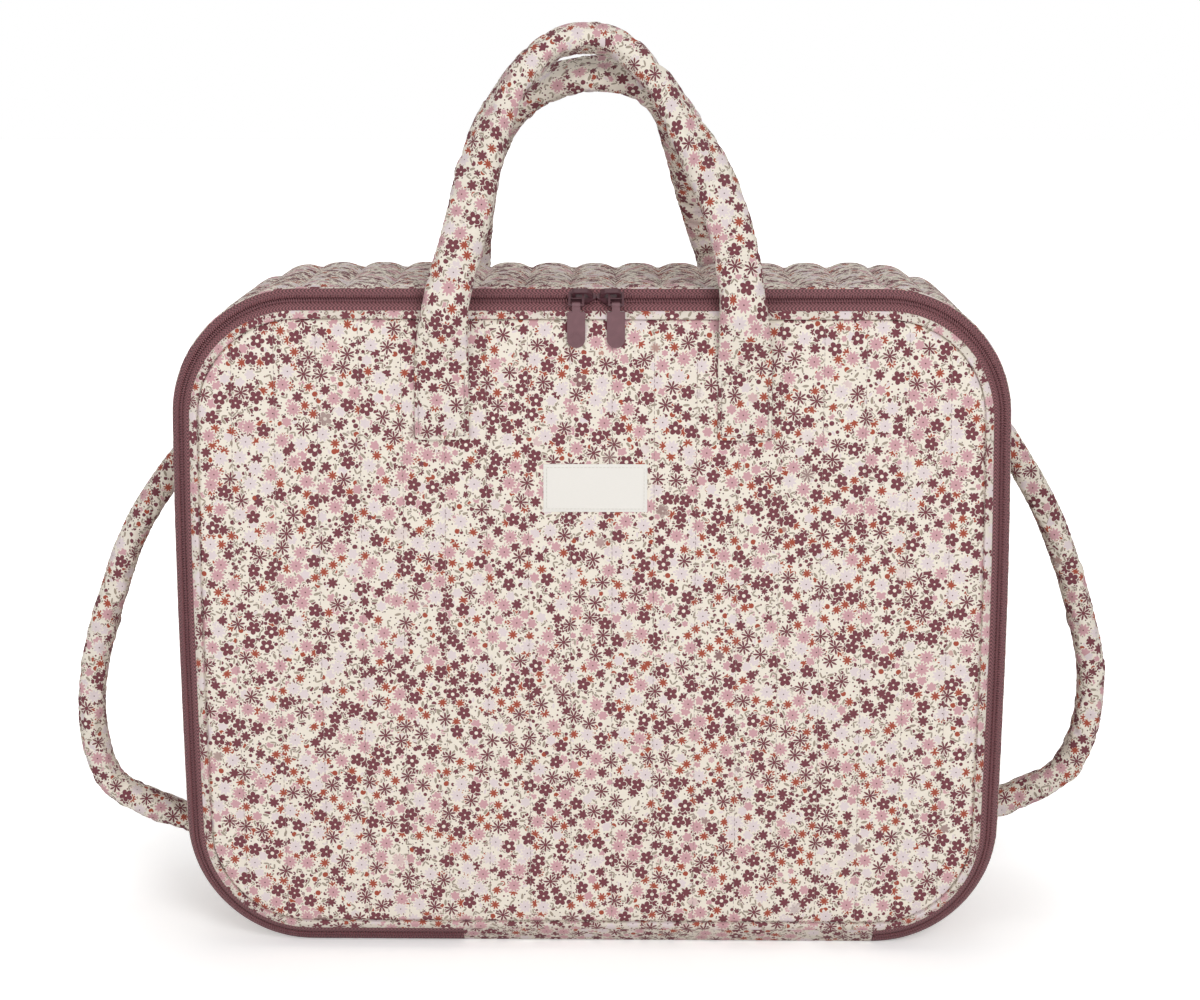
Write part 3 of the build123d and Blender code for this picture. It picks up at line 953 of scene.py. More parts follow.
class Piece:
    """A mesh under way, with its own UV map in metres."""

    def __init__(self, name: str) -> None:
        """Starts an empty piece."""
        self.name = name
        self.points: list[Vector] = []
        self.faces: list[list[int]] = []
        self.maps: list[list[Pair]] = []

    def grid(
        self,
        columns: int,
        rows: int,
        place: Place,
        spread: Spread,
        wrap_columns: bool = False,
        wrap_rows: bool = False,
        flip: bool = False,
    ) -> list[list[int]]:
        """Adds a grid of faces.

        Args:
            columns: Number of points one way.
            rows: Number of points the other way.
            place: Gives each point.
            spread: Gives its place on the cloth.
            wrap_columns: Closes the grid along the columns.
            wrap_rows: Closes the grid along the rows.
            flip: Turns the faces round.

        Returns:
            The points' numbers by column and row.
        """
        start = len(self.points)
        for i in range(columns):
            for j in range(rows):
                self.points.append(place(i, j))
        number = [[start + i * rows + j for j in range(rows)] for i in range(columns)]
        for i in range(columns if wrap_columns else columns - 1):
            for j in range(rows if wrap_rows else rows - 1):
                corners = [(i, j), (i + 1, j), (i + 1, j + 1), (i, j + 1)]
                if flip:
                    corners.reverse()
                self.faces.append([number[a % columns][b % rows] for a, b in corners])
                self.maps.append([spread(a, b) for a, b in corners])
        return number

    def tube(self, columns: int, rows: int, place: Place, spread: Spread) -> None:
        """Adds a closed tube with a flat face on each end.

        Args:
            columns: Number of rings along it.
            rows: Number of points in a ring.
            place: Gives each point.
            spread: Gives its place on the cloth.
        """
        numbers = self.grid(columns, rows, place, spread, wrap_rows=True)
        self.cap(numbers[0])
        self.cap(numbers[-1], flip=True)

    def slab(
        self, columns: int, rows: int, near: Place, far: Place, spread: Spread, level: float
    ) -> None:
        """Adds two facing grids and closes the edge between them.

        Args:
            columns: Number of points one way.
            rows: Number of points the other way.
            near: Gives each point of the first face.
            far: Gives each point of the second face.
            spread: Gives a point's place on the cloth.
            level: Place of the edge on the cloth.
        """
        first = self.grid(columns, rows, near, spread)
        second = self.grid(columns, rows, far, spread, flip=True)
        loop = self.edge(columns, rows)
        self.join([first[i][j] for i, j in loop], [second[i][j] for i, j in loop], level)

    @staticmethod
    def edge(columns: int, rows: int) -> list[tuple[int, int]]:
        """Column and row of each point round a grid's edge.

        Args:
            columns: Number of points one way.
            rows: Number of points the other way.

        Returns:
            The pairs, in order round the edge.
        """
        loop = [(i, 0) for i in range(columns)]
        loop += [(columns - 1, j) for j in range(1, rows)]
        loop += [(i, rows - 1) for i in range(columns - 2, -1, -1)]
        return loop + [(0, j) for j in range(rows - 2, 0, -1)]

    def join(self, ring: Sequence[int], fresh: Sequence[int], level: float) -> None:
        """Joins two rings of points with faces.

        Args:
            ring: Numbers of the first ring's points.
            fresh: Numbers of the second ring's points.
            level: Place of the first ring on the cloth.
        """
        total, walked = len(ring), 0.0
        for k in range(total):
            a, b = ring[k], ring[(k + 1) % total]
            c, d = fresh[(k + 1) % total], fresh[k]
            end = walked + (self.points[b] - self.points[a]).length
            low = level - (self.points[d] - self.points[a]).length
            self.faces.append([a, b, c, d])
            self.maps.append([(walked, level), (end, level), (end, low), (walked, low)])
            walked = end

    def cap(self, numbers: Sequence[int], flip: bool = False) -> None:
        """Closes an end with one flat face."""
        ring = list(reversed(numbers)) if flip else list(numbers)
        self.faces.append(ring)
        self.maps.append([(self.points[n].x + self.points[n].y, self.points[n].z) for n in ring])

    def made(self, material: Material, crease: float = 50.0) -> Object:
        """Turns the piece into an object.

        Args:
            material: Its finish.
            crease: Angle in degrees past which an edge is sharp.

        Returns:
            The new object.
        """
        mesh = bpy.data.meshes.new(self.name)
        mesh.from_pydata([tuple(p) for p in self.points], [], self.faces)
        layer = mesh.uv_layers.new(name="cloth")
        flat = [c for corners in self.maps for pair in corners for c in pair]
        layer.data.foreach_set("uv", flat)
        mesh.materials.append(material)
        mesh.validate()
        work = bmesh.new()
        work.from_mesh(mesh)
        bmesh.ops.recalc_face_normals(work, faces=work.faces)
        work.to_mesh(mesh)
        work.free()
        mesh.shade_smooth()
        mesh.set_sharp_from_angle(angle=math.radians(crease))
        thing = bpy.data.objects.new(self.name, mesh)
        bpy.context.scene.collection.objects.link(thing)
        LOG.info("%s: %d points, %d faces", self.name, len(mesh.vertices), len(mesh.polygons))
        return thing


def rounded_section(corners: Sequence[Pair], softness: float, steps: int = 3) -> list[Pair]:
    """Rounds the corners of a closed section.

    Args:
        corners: Inset and depth of each corner.
        softness: How far from a corner the rounding starts.
        steps: Number of points on each rounded corner.

    Returns:
        The rounded section.
    """
    rounded: list[Pair] = []
    total = len(corners)
    for k, here in enumerate(corners):
        before, after = Vector(corners[k - 1]), Vector(corners[(k + 1) % total])
        middle = Vector(here)
        near = min(softness, (before - middle).length * 0.45)
        far = min(softness, (after - middle).length * 0.45)
        start = middle + (before - middle).normalized() * near
        end = middle + (after - middle).normalized() * far
        for i in range(steps + 1):
            t = i / steps
            point = start * (1 - t) ** 2 + middle * (2 * t * (1 - t)) + end * t**2
            rounded.append((point.x, point.y))
    return rounded


def smooth_route(points: Sequence[Vector], step: float) -> list[Vector]:
    """A soft curve that follows a route's corners.

    Args:
        points: The route's corners.
        step: Distance between the new points.

    Returns:
        Points along the curve.
    """
    middles = [(a + b) / 2 for a, b in zip(points, points[1:])]
    fine: list[Vector] = [points[0].copy()]
    for before, corner, after in zip(middles, points[1:-1], middles[1:]):
        for i in range(CURVE_STEPS):
            t = i / CURVE_STEPS
            fine.append(before * (1 - t) ** 2 + corner * (2 * t * (1 - t)) + after * t**2)
    fine += [middles[-1], points[-1].copy()]
    total = sum((b - a).length for a, b in zip(fine, fine[1:]))
    count = max(4, round(total / step))
    out, walked, index = [fine[0]], 0.0, 0
    for k in range(1, count):
        target = total * k / count
        while walked + (fine[index + 1] - fine[index]).length < target:
            walked += (fine[index + 1] - fine[index]).length
            index += 1
        run = fine[index + 1] - fine[index]
        out.append(fine[index] + run * ((target - walked) / run.length))
    return out + [fine[-1]]


@dataclass
class Stations:
    """Places for a repeated small shape: where, which way it runs and which way it faces."""

    points: list[Vector] = field(default_factory=list)
    along: list[Vector] = field(default_factory=list)
    facing: list[Vector] = field(default_factory=list)

    def add(self, point: Vector, along: Vector, facing: Vector) -> None:
        """Adds one place."""
        self.points.append(point)
        self.along.append(along.normalized())
        self.facing.append(facing.normalized())

    def row(self, route: Sequence[Vector], facing: Vector, pitch: float) -> None:
        """Adds places along a route.

        Args:
            route: Points to follow.
            facing: Direction that the shapes face.
            pitch: Distance between them.
        """
        spare = pitch / 2
        for a, b in zip(route, route[1:]):
            run = b - a
            length = run.length
            while spare < length:
                self.add(a + run * (spare / length), run, facing)
                spare += pitch
            spare -= length


class Repeater:
    """Sets a small rounded bar at each station with Geometry Nodes."""

    def __init__(self) -> None:
        """Builds the node tree once."""
        tree = bpy.data.node_groups.new("set_bars", "GeometryNodeTree")
        face = tree.interface
        face.new_socket("Geometry", in_out="INPUT", socket_type="NodeSocketGeometry")
        sockets = {
            title: face.new_socket(title, in_out="INPUT", socket_type=kind).identifier
            for title, kind in (
                ("Bar Size", "NodeSocketVector"),
                ("Slant", "NodeSocketFloat"),
                ("Finish", "NodeSocketMaterial"),
            )
        }
        face.new_socket("Geometry", in_out="OUTPUT", socket_type="NodeSocketGeometry")
        self.tree = tree
        self.sockets = sockets
        add, link = tree.nodes.new, tree.links.new
        start, end = add("NodeGroupInput"), add("NodeGroupOutput")
        bar = add("GeometryNodeMeshUVSphere")
        bar.inputs["Segments"].default_value = 6
        bar.inputs["Rings"].default_value = 5
        bar.inputs["Radius"].default_value = 0.5
        lay = add("GeometryNodeTransform")
        link(bar.outputs["Mesh"], lay.inputs["Geometry"])
        lay.inputs["Rotation"].default_value = (0.0, math.pi / 2, 0.0)
        size = add("GeometryNodeTransform")
        link(lay.outputs["Geometry"], size.inputs["Geometry"])
        link(start.outputs["Bar Size"], size.inputs["Scale"])
        slant = add("ShaderNodeCombineXYZ")
        link(start.outputs["Slant"], slant.inputs["Z"])
        turn = add("GeometryNodeTransform")
        link(size.outputs["Geometry"], turn.inputs["Geometry"])
        link(slant.outputs[0], turn.inputs["Rotation"])
        aligned = None
        for title, axis in (("along", "X"), ("facing", "Z")):
            named = add("GeometryNodeInputNamedAttribute")
            named.data_type = "FLOAT_VECTOR"
            named.inputs["Name"].default_value = title
            align = add("FunctionNodeAlignEulerToVector")
            align.axis = axis
            align.pivot_axis = "AUTO" if axis == "X" else "X"
            link(named.outputs["Attribute"], align.inputs["Vector"])
            if aligned is not None:
                link(aligned.outputs[0], align.inputs["Rotation"])
            aligned = align
        put = add("GeometryNodeInstanceOnPoints")
        link(start.outputs["Geometry"], put.inputs["Points"])
        link(turn.outputs["Geometry"], put.inputs["Instance"])
        link(aligned.outputs[0], put.inputs["Rotation"])
        real = add("GeometryNodeRealizeInstances")
        link(put.outputs["Instances"], real.inputs[0])
        soft = add("GeometryNodeSetShadeSmooth")
        link(real.outputs[0], soft.inputs["Geometry"])
        dress = add("GeometryNodeSetMaterial")
        link(soft.outputs["Geometry"], dress.inputs["Geometry"])
        link(start.outputs["Finish"], dress.inputs["Material"])
        link(dress.outputs["Geometry"], end.inputs["Geometry"])

    def lay(
        self,
        name: str,
        stations: Stations,
        size: Size,
        material: Material,
        slant: float = 0.0,
    ) -> Object:
        """Sets one bar at each station and makes it one plain mesh.

        Args:
            name: The piece's name.
            stations: Where the bars go.
            size: Length, width and height of a bar.
            material: Its finish.
            slant: Turn in degrees about the facing direction.

        Returns:
            The new object.
        """
        seeds = bpy.data.meshes.new(name + "_stations")
        seeds.from_pydata([tuple(p) for p in stations.points], [], [])
        for title, vectors in (("along", stations.along), ("facing", stations.facing)):
            layer = seeds.attributes.new(title, "FLOAT_VECTOR", "POINT")
            layer.data.foreach_set("vector", [c for v in vectors for c in v])
        holder = bpy.data.objects.new(name + "_stations", seeds)
        bpy.context.scene.collection.objects.link(holder)
        modifier = holder.modifiers.new("set", "NODES")
        modifier.node_group = self.tree
        modifier[self.sockets["Bar Size"]] = size
        modifier[self.sockets["Slant"]] = math.radians(slant)
        modifier[self.sockets["Finish"]] = material
        graph = bpy.context.evaluated_depsgraph_get()
        mesh = bpy.data.meshes.new_from_object(holder.evaluated_get(graph))
        mesh.name = name
        bpy.data.objects.remove(holder)
        thing = bpy.data.objects.new(name, mesh)
        bpy.context.scene.collection.objects.link(thing)
        LOG.info("%s: %d bars", name, len(stations.points))
        return thing


@dataclass(frozen=True)
class Filling:
    """A short cloth simulation that plumps a piece between the places where it is held."""

    pressure: float = 3.0
    growth: float = 0.03
    frames: int = 8
    reach: float = 1.2 * MM
    mass: float = 0.002

    def apply(self, thing: Object, hold: Callable[[int], float]) -> None:
        """Simulates the cloth and keeps its capped result in the mesh.

        Args:
            thing: The piece.
            hold: How firmly each point is held, from 0 to 1.
        """
        mesh = thing.data
        start = [vertex.co.copy() for vertex in mesh.vertices]
        group = thing.vertex_groups.new(name="held")
        for index in range(len(start)):
            group.add([index], hold(index), "REPLACE")
        modifier = thing.modifiers.new("filling", "CLOTH")
        cloth = modifier.settings
        cloth.quality = 4
        cloth.mass = self.mass
        cloth.tension_stiffness = cloth.compression_stiffness = 6.0
        cloth.shear_stiffness = 2.0
        cloth.bending_stiffness = 0.05
        cloth.use_pressure = True
        cloth.uniform_pressure_force = self.pressure
        cloth.shrink_min = -self.growth
        cloth.vertex_group_mass = "held"
        cloth.effector_weights.gravity = 0.0
        modifier.collision_settings.use_collision = False
        modifier.point_cache.frame_end = self.frames
        scene = bpy.context.scene
        for frame in range(1, self.frames + 1):
            scene.frame_set(frame)
        evaluated = thing.evaluated_get(bpy.context.evaluated_depsgraph_get())
        filled = [vertex.co.copy() for vertex in evaluated.to_mesh().vertices]
        evaluated.to_mesh_clear()
        thing.modifiers.remove(modifier)
        thing.vertex_groups.clear()
        scene.frame_set(1)
        total = 0.0
        for vertex, before, after in zip(mesh.vertices, start, filled):
            step = after - before
            total += step.length
            if step.length > self.reach:
                step *= self.reach / step.length
            vertex.co = before + step
        LOG.info("%s: filled, mean move %.2f mm", thing.name, total / len(start) / MM)


@dataclass
class Workshop:
    """What every sub-assembly needs to make its pieces and fit them."""

    outline: BodyOutline
    band: ZipBand
    finishes: Finishes
    repeater: Repeater

    def fit(
        self,
        thing: Object,
        body: str,
        slot: str,
        nodes: Sequence[str] = (),
        pad: float | None = None,
    ) -> Object:
        """Puts a piece on its body and hides the solids that it replaces.

        Args:
            thing: The piece.
            body: Body that it moves with.
            slot: Material slot of the record; not used.
            nodes: Solids that it replaces.
            pad: How full it is, for a padded piece; not used.

        Returns:
            The piece.
        """
        if nodes:
            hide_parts(*nodes)
        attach(thing, body)
        return thing

    def hoop(
        self,
        name: str,
        section: Sequence[Pair],
        material: Material,
        body: str,
        slot: str,
        node: str,
        pad: float | None = None,
        first: float = 0.0,
        last: float | None = None,
        step: float = 3.0 * MM,
    ) -> Object:
        """Runs a closed section round the suitcase and fits it.

        Args:
            name: The piece's name.
            section: Inset and depth of each point of the section.
            material: Its finish.
            body: Body that it moves with.
            slot: Material slot of the record.
            node: Solid that it replaces.
            pad: How full it is, for a padded piece.
            first: Where it starts along the outline.
            last: Where it ends, or None to close it.
            step: Distance between sections.

        Returns:
            The piece.
        """
        outline, size = self.outline, len(section)
        closed = last is None
        run = outline.perimeter if closed else (last - first) % outline.perimeter
        count = max(8, round(run / step))
        lengths = [0.0]
        for j in range(size):
            a, b = section[j], section[(j + 1) % size]
            lengths.append(lengths[-1] + math.hypot(b[0] - a[0], b[1] - a[1]))
        piece = Piece(name)

        def place(i: int, j: int) -> Vector:
            """The point j of section i."""
            return outline.place(first + run * i / count, *section[j])

        def spread(i: int, j: int) -> Pair:
            """The point's place on the cloth."""
            return first + run * i / count, lengths[j]

        if closed:
            piece.grid(count, size, place, spread, wrap_columns=True, wrap_rows=True)
        else:
            piece.tube(count + 1, size, place, spread)
        return self.fit(piece.made(material), body, slot, [node], pad)

    def sew(
        self,
        name: str,
        stations: Stations,
        size: Size,
        material: Material,
        body: str,
        slot: str,
        nodes: Sequence[str] = (),
        slant: float = 0.0,
    ) -> None:
        """Sets a bar at each station and fits them as one piece.

        Args:
            name: The piece's name.
            stations: Where the bars go.
            size: Length, width and height of a bar.
            material: Its finish.
            body: Body that they move with.
            slot: Material slot of the record.
            nodes: Solids that they replace.
            slant: Turn in degrees about the facing direction.
        """
        self.fit(self.repeater.lay(name, stations, size, material, slant), body, slot, nodes)


# Sub-assemblies


@dataclass
class Gusset:
    """The quilted strip round the body, with its foam, lining, edge strip and bound seams."""

    shop: Workshop
    front: float = -61.45 * MM
    rear: float = 72 * MM
    ditch: float = 3.5 * MM
    swell: float = 0.6 * MM
    cover_back: float = 4.3 * MM
    foam_back: float = 7.4 * MM
    lining_back: float = 8.2 * MM
    end_inset: float = 2.0 * MM
    end_run: float = 9 * MM
    tail_run: float = 4 * MM
    tail_inset: float = 0.7 * MM
    channel_columns: int = 12
    rows: int = 44

    def crest(self, distance: float, depth: float) -> float:
        """The cover's inset at a place, from the puffed channels.

        Args:
            distance: Length along the outline.
            depth: The place's Y.

        Returns:
            The inset there.
        """
        number, off = self.shop.outline.channel(distance)
        plump = 1.0 + 0.10 * noise.noise(Vector((number * 3.7, depth * 14.0, 1.5)))
        puff = (1.0 - off**PUFF_POWER) ** 0.9 * plump
        ease = smooth_step(0.0, self.end_run, depth - self.front)
        tail = smooth_step(0.0, self.tail_run, self.rear - depth)
        pucker = noise.noise(Vector((distance * 45.0, depth * 210.0, number * 1.3)))
        inset = self.ditch - (self.ditch + self.swell) * puff
        inset += pucker * 0.6 * MM * (0.35 + off) * ease + (1.0 - tail) * self.tail_inset
        return blend_value(self.end_inset + 0.8 * MM * off, inset, ease)

    def build(self) -> None:
        """Builds and fits every piece of the gusset."""
        shop, outline, finishes = self.shop, self.shop.outline, self.shop.finishes
        self._cover()
        wall = rounded_section(self._sheet(self.foam_back, self.lining_back), 0.3 * MM)
        lining = shop.hoop(
            "gusset_lining_cloth", wall, finishes.lining, "shell", "lining", "gusset_lining"
        )
        length = outline.perimeter - 2 * math.pi * self.foam_back
        flat = (INNER_FACE - self.front, length)
        sheet = self._sheet(self.cover_back, self.foam_back)
        shop.hoop("gusset_foam_sheet", sheet, finishes.foam, "shell", "foam", "gusset_foam", 0.9)
        self._edge_strip()
        self._bindings()

    def _sheet(self, near: float, far: float) -> list[Pair]:
        """Section of a flat layer between two insets."""
        return [(near, self.front), (near, INNER_FACE), (far, INNER_FACE), (far, self.front)]

    def _cover(self) -> None:
        """The puffed cover, its outside first and its flat back last."""
        outline, rows = self.shop.outline, self.rows
        columns = outline.channels * self.channel_columns
        depths = [blend_value(self.front, self.rear, j / (rows - 1)) for j in range(rows)]

        def along(i: int) -> float:
            """Distance along the outline of column i."""
            return outline.perimeter * i / columns

        def place(i: int, j: int) -> Vector:
            """A point of the cover."""
            if j < rows:
                return outline.place(along(i), self.crest(along(i), depths[j]), depths[j])
            depth = self.rear if j == rows else self.front
            return outline.place(along(i), self.cover_back, depth)

        def spread(i: int, j: int) -> Pair:
            """The point's place on the cloth, which the puffs take up a little of."""
            return along(i) * 1.04, (depths[j] if j < rows else self.rear) * 1.02

        piece = Piece("gusset_quilted_cover")
        piece.grid(columns, rows + 2, place, spread, wrap_columns=True, wrap_rows=True)
        cover = piece.made(self.shop.finishes.gusset, 80.0)
        self.shop.fit(cover, "shell", "quilted_cover", ["gusset_cover"], 0.6)

    def _edge_strip(self) -> None:
        """The printed strip between the quilting and the zip."""
        shop, band = self.shop, self.shop.band
        depth = band.at(-band.reach_rear, 0.0)[1]
        section = rounded_section(
            [
                (0.2 * MM, depth + 0.3 * MM),
                (-0.3 * MM, (depth + self.front) / 2),
                (1.4 * MM, self.front + 0.4 * MM),
                (2.6 * MM, self.front),
                (2.0 * MM, depth),
            ],
            0.9 * MM,
        )
        name, node = "gusset_edge_strip_cloth", "gusset_edge_strip"
        shop.hoop(name, section, shop.finishes.trim, "shell", "trim_cloth", node)

    def _bindings(self) -> None:
        """The bound seams inside the opening and at the back."""
        shop = self.shop
        opening = (2.0 * MM, 8.2 * MM, self.front - 1.8 * MM, self.front + 0.1 * MM)
        behind = (self.lining_back, self.lining_back + 3.2 * MM, 72.3 * MM, INNER_FACE)
        for name, node, (near, far, front, back) in (
            ("opening_seam_binding", "seam_binding_rear", opening),
            ("back_seam_binding", "seam_binding_back", behind),
        ):
            corners = [(near, front), (far, front), (far, back), (near, back)]
            section = rounded_section(corners, 0.8 * MM)
            shop.hoop(name, section, shop.finishes.binding, "shell", "binding_tape", node)


@dataclass
class QuiltedPanel:
    """A flat quilted wall: the lid's front or the body's back.

    Its depths are distances from the middle of the body, on the side that it faces.
    """

    shop: Workshop
    name: str
    body: str
    nodes: tuple[str, str, str]
    facing: int
    inset: float
    face: float = 80 * MM
    back: float = 77.9 * MM
    foam_back: float = 74.9 * MM
    pitch: float = 24.5 * MM
    puff: float = 1.0 * MM
    sunk: float = 0.7 * MM
    rim: tuple[Pair, ...] = ()
    scallop: float = 0.0
    edge_drop: float = 0.0
    patch: tuple[float, float, float, float] | None = None
    inner_inset: float = 0.0
    rows: int = 124
    pitch_columns: int = 12
    corner_columns: int = 15
    corner_run: float = 14 * MM
    layer_grid: tuple[int, int] = (64, 40)
    stitch: Size = (2.4 * MM, 0.45 * MM, 0.4 * MM)
    stitch_pitch: float = 3.1 * MM

    def _half_height(self, x: float, inset: float) -> Pair:
        """Lowest and highest Z of the panel at X.

        Args:
            x: Distance from the middle.
            inset: Inset from the body's outline.

        Returns:
            The two heights.
        """
        outline = self.shop.outline
        past = max(0.0, abs(x) - outline.straight_half)
        rise = outline.radius - inset
        drop = rise - math.sqrt(max(0.0, rise * rise - past * past)) + inset
        return drop, outline.height - drop

    def surface(self, x: float, z: float, edge: float) -> float:
        """The face's Y at a place.

        Args:
            x: Place across.
            z: Height.
            edge: Distance to the panel's edge.

        Returns:
            The Y of the puffed face.
        """
        turn = x / self.pitch + 0.5
        off = abs(turn - math.floor(turn) - 0.5) * 2
        number = math.floor(turn)
        plump = 1.0 + 0.25 * noise.noise(Vector((number * 5.1, z * 9.0, 2.0)))
        lift = (1.0 - off**PUFF_POWER) * self.puff * plump
        ripple = noise.noise(Vector((x * 55.0, z * 130.0, 7.0))) * 0.28 * MM * off
        swell = noise.noise(Vector((x * 9.0, z * 9.0, 5.0))) * 0.5 * MM
        ease = smooth_step(0.0, 9 * MM, edge)
        height = blend_value(-self.sunk, lift - self.sunk * off**8 + ripple + swell, ease)
        if self.patch is not None:
            px, pz, width, tall = self.patch
            away = max(abs(x - px) - width / 2, abs(z - pz) - tall / 2)
            pressed = 1.0 - smooth_step(0.0, 7 * MM, away)
            height = blend_value(height, min(height, 0.35 * MM), pressed)
        height -= self.edge_drop * (1.0 - smooth_step(0.0, 1.7 * MM, edge))
        return self.facing * (self.face + height)

    def build(self) -> None:
        """Builds the panel with its foam, its lining and its stitches."""
        shop, outline = self.shop, self.shop.outline
        half = outline.width / 2 - self.inset
        spots, rows = self._columns(half), self.rows
        piece = Piece(self.name + "_quilted_panel")

        def spot(i: int, j: int) -> tuple[float, float, float]:
            """A point of the panel.

            Args:
                i: Its column.
                j: Its row.

            Returns:
                X, Z and the distance to the edge.
            """
            x = spots[i]
            low, high = self._half_height(x, self.inset)
            share = j / (rows - 1)
            z = blend_value(low, high, share - 0.78 * math.sin(2 * math.pi * share) / (2 * math.pi))
            return x, z, min(half - abs(x), z - low, high - z)

        def place(i: int, j: int) -> Vector:
            """A point of the outer face."""
            x, z, edge = spot(i, j)
            return outline.settled(Vector((x, self.surface(x, z, edge), z)))

        def spread(i: int, j: int) -> Pair:
            """The point's place on the cloth."""
            x, z, _ = spot(i, j)
            return (x + 0.5 * self.facing, z)

        numbers = piece.grid(len(spots), rows, place, spread)
        loop = piece.edge(len(spots), rows)
        ring = [numbers[i][j] for i, j in loop]
        for inset, depth in self.rim:
            fresh = []
            for i, j in loop:
                x, z, _ = spot(i, j)
                nx, nz = self._outward(x, z)
                _, off = outline.channel(outline.distance_at(x, z))
                near = smooth_step(79.8 * MM, 74 * MM, depth) if self.scallop else 0.0
                out = self.inset - inset - self.scallop * near * off**2.2
                moved = Vector((x + nx * out, depth, z + nz * out))
                fresh.append(len(piece.points))
                piece.points.append(outline.settled(moved))
            piece.join(ring, fresh, inset)
            ring = fresh
        piece.cap(ring)
        panel = piece.made(shop.finishes.quilt, 60.0)
        shop.fit(panel, self.body, "quilted_cover", [self.nodes[0]], 0.5)
        self._layer("foam_sheet", (self.back, self.foam_back), shop.finishes.foam, 1, 0.9)
        self._layer("lining_cloth", (self.foam_back, INNER_FACE), shop.finishes.lining, 2)
        self._stitches(half)

    def _columns(self, half: float) -> list[float]:
        """X of each column, closer near the rounded corners and on the stitch lines.

        Args:
            half: Half of the panel's width.

        Returns:
            The columns from left to right.
        """
        spots, step, x = {0.0}, self.pitch / self.pitch_columns, 0.0
        while x < half - self.corner_run:
            spots.update((round(x, 7), round(-x, 7)))
            x += step
        for k in range(self.corner_columns + 1):
            angle = math.pi / 2 * k / self.corner_columns
            x = half - self.corner_run * (1 - math.sin(angle))
            spots.update((round(x, 7), round(-x, 7)))
        return sorted(spots)

    def _outward(self, x: float, z: float) -> Pair:
        """The direction out of the panel at a point on its edge.

        Args:
            x: The point's X.
            z: The point's Z.

        Returns:
            X and Z of the direction.
        """
        outline = self.shop.outline
        cx = max(-outline.straight_half, min(outline.straight_half, x))
        cz = max(outline.radius, min(outline.height - outline.radius, z))
        dx, dz = x - cx, z - cz
        length = math.hypot(dx, dz) or 1.0
        return dx / length, dz / length

    def _layer(
        self,
        kind: str,
        faces: Pair,
        material: Material,
        place_in_nodes: int,
        pad: float | None = None,
    ) -> None:
        """A flat inner layer of the wall.

        Args:
            kind: End of the piece's name.
            faces: Depths of its two faces.
            material: Its finish.
            place_in_nodes: Which of the wall's nodes it replaces.
            pad: How full it is, for a padded layer.
        """
        shop, outline = self.shop, self.shop.outline
        inset = self.inner_inset or self.inset
        half = outline.width / 2 - inset
        columns, rows = self.layer_grid
        turns = [math.pi / 2 * (2 * i / (columns - 1) - 1) for i in range(columns)]
        spots = [half * math.sin(turn) for turn in turns]

        def place_at(depth: float) -> Place:
            """Makes the function that places the points of one face.

            Args:
                depth: The face's depth.

            Returns:
                The function.
            """

            def place(i: int, j: int) -> Vector:
                """A point of that face."""
                low, high = self._half_height(spots[i], inset)
                z = blend_value(low, high, j / (rows - 1))
                return outline.settled(Vector((spots[i], self.facing * depth, z)))

            return place

        def spread(i: int, j: int) -> Pair:
            """The point's place on the cloth."""
            return (spots[i], j * outline.height / rows)

        piece = Piece(f"{self.name}_{kind}")
        piece.slab(columns, rows, place_at(faces[0]), place_at(faces[1]), spread, inset)
        slot = "lining" if pad is None else "foam"
        node = self.nodes[place_in_nodes]
        layer = shop.fit(piece.made(material), self.body, slot, [node], pad)
        if pad is None:
            tall = outline.height - 2 * inset
            area = 2 * half * tall - (4 - math.pi) * (outline.radius - inset) ** 2
            2 * half

    def _stitches(self, half: float) -> None:
        """The rows of quilting stitches down the panel.

        Args:
            half: Half of the panel's width.
        """
        shop, stations = self.shop, Stations()
        lines, steps, margin = int(half / self.pitch - 0.5), 120, 2 * MM
        for k in range(-lines - 1, lines + 1):
            x = (k + 0.5) * self.pitch
            low, high = self._half_height(x, self.inset)
            route = []
            for i in range(steps + 1):
                z = blend_value(low + margin, high - margin, i / steps)
                edge = min(z - low, high - z)
                y = self.surface(x, z, edge) + self.facing * 0.05 * MM
                route.append(shop.outline.settled(Vector((x, y, z))))
            stations.row(route, Vector((0, self.facing, 0)), self.stitch_pitch)
        name, thread = self.name + "_quilting_stitches", shop.finishes.thread
        shop.sew(name, stations, self.stitch, thread, self.body, "quilted_cover")


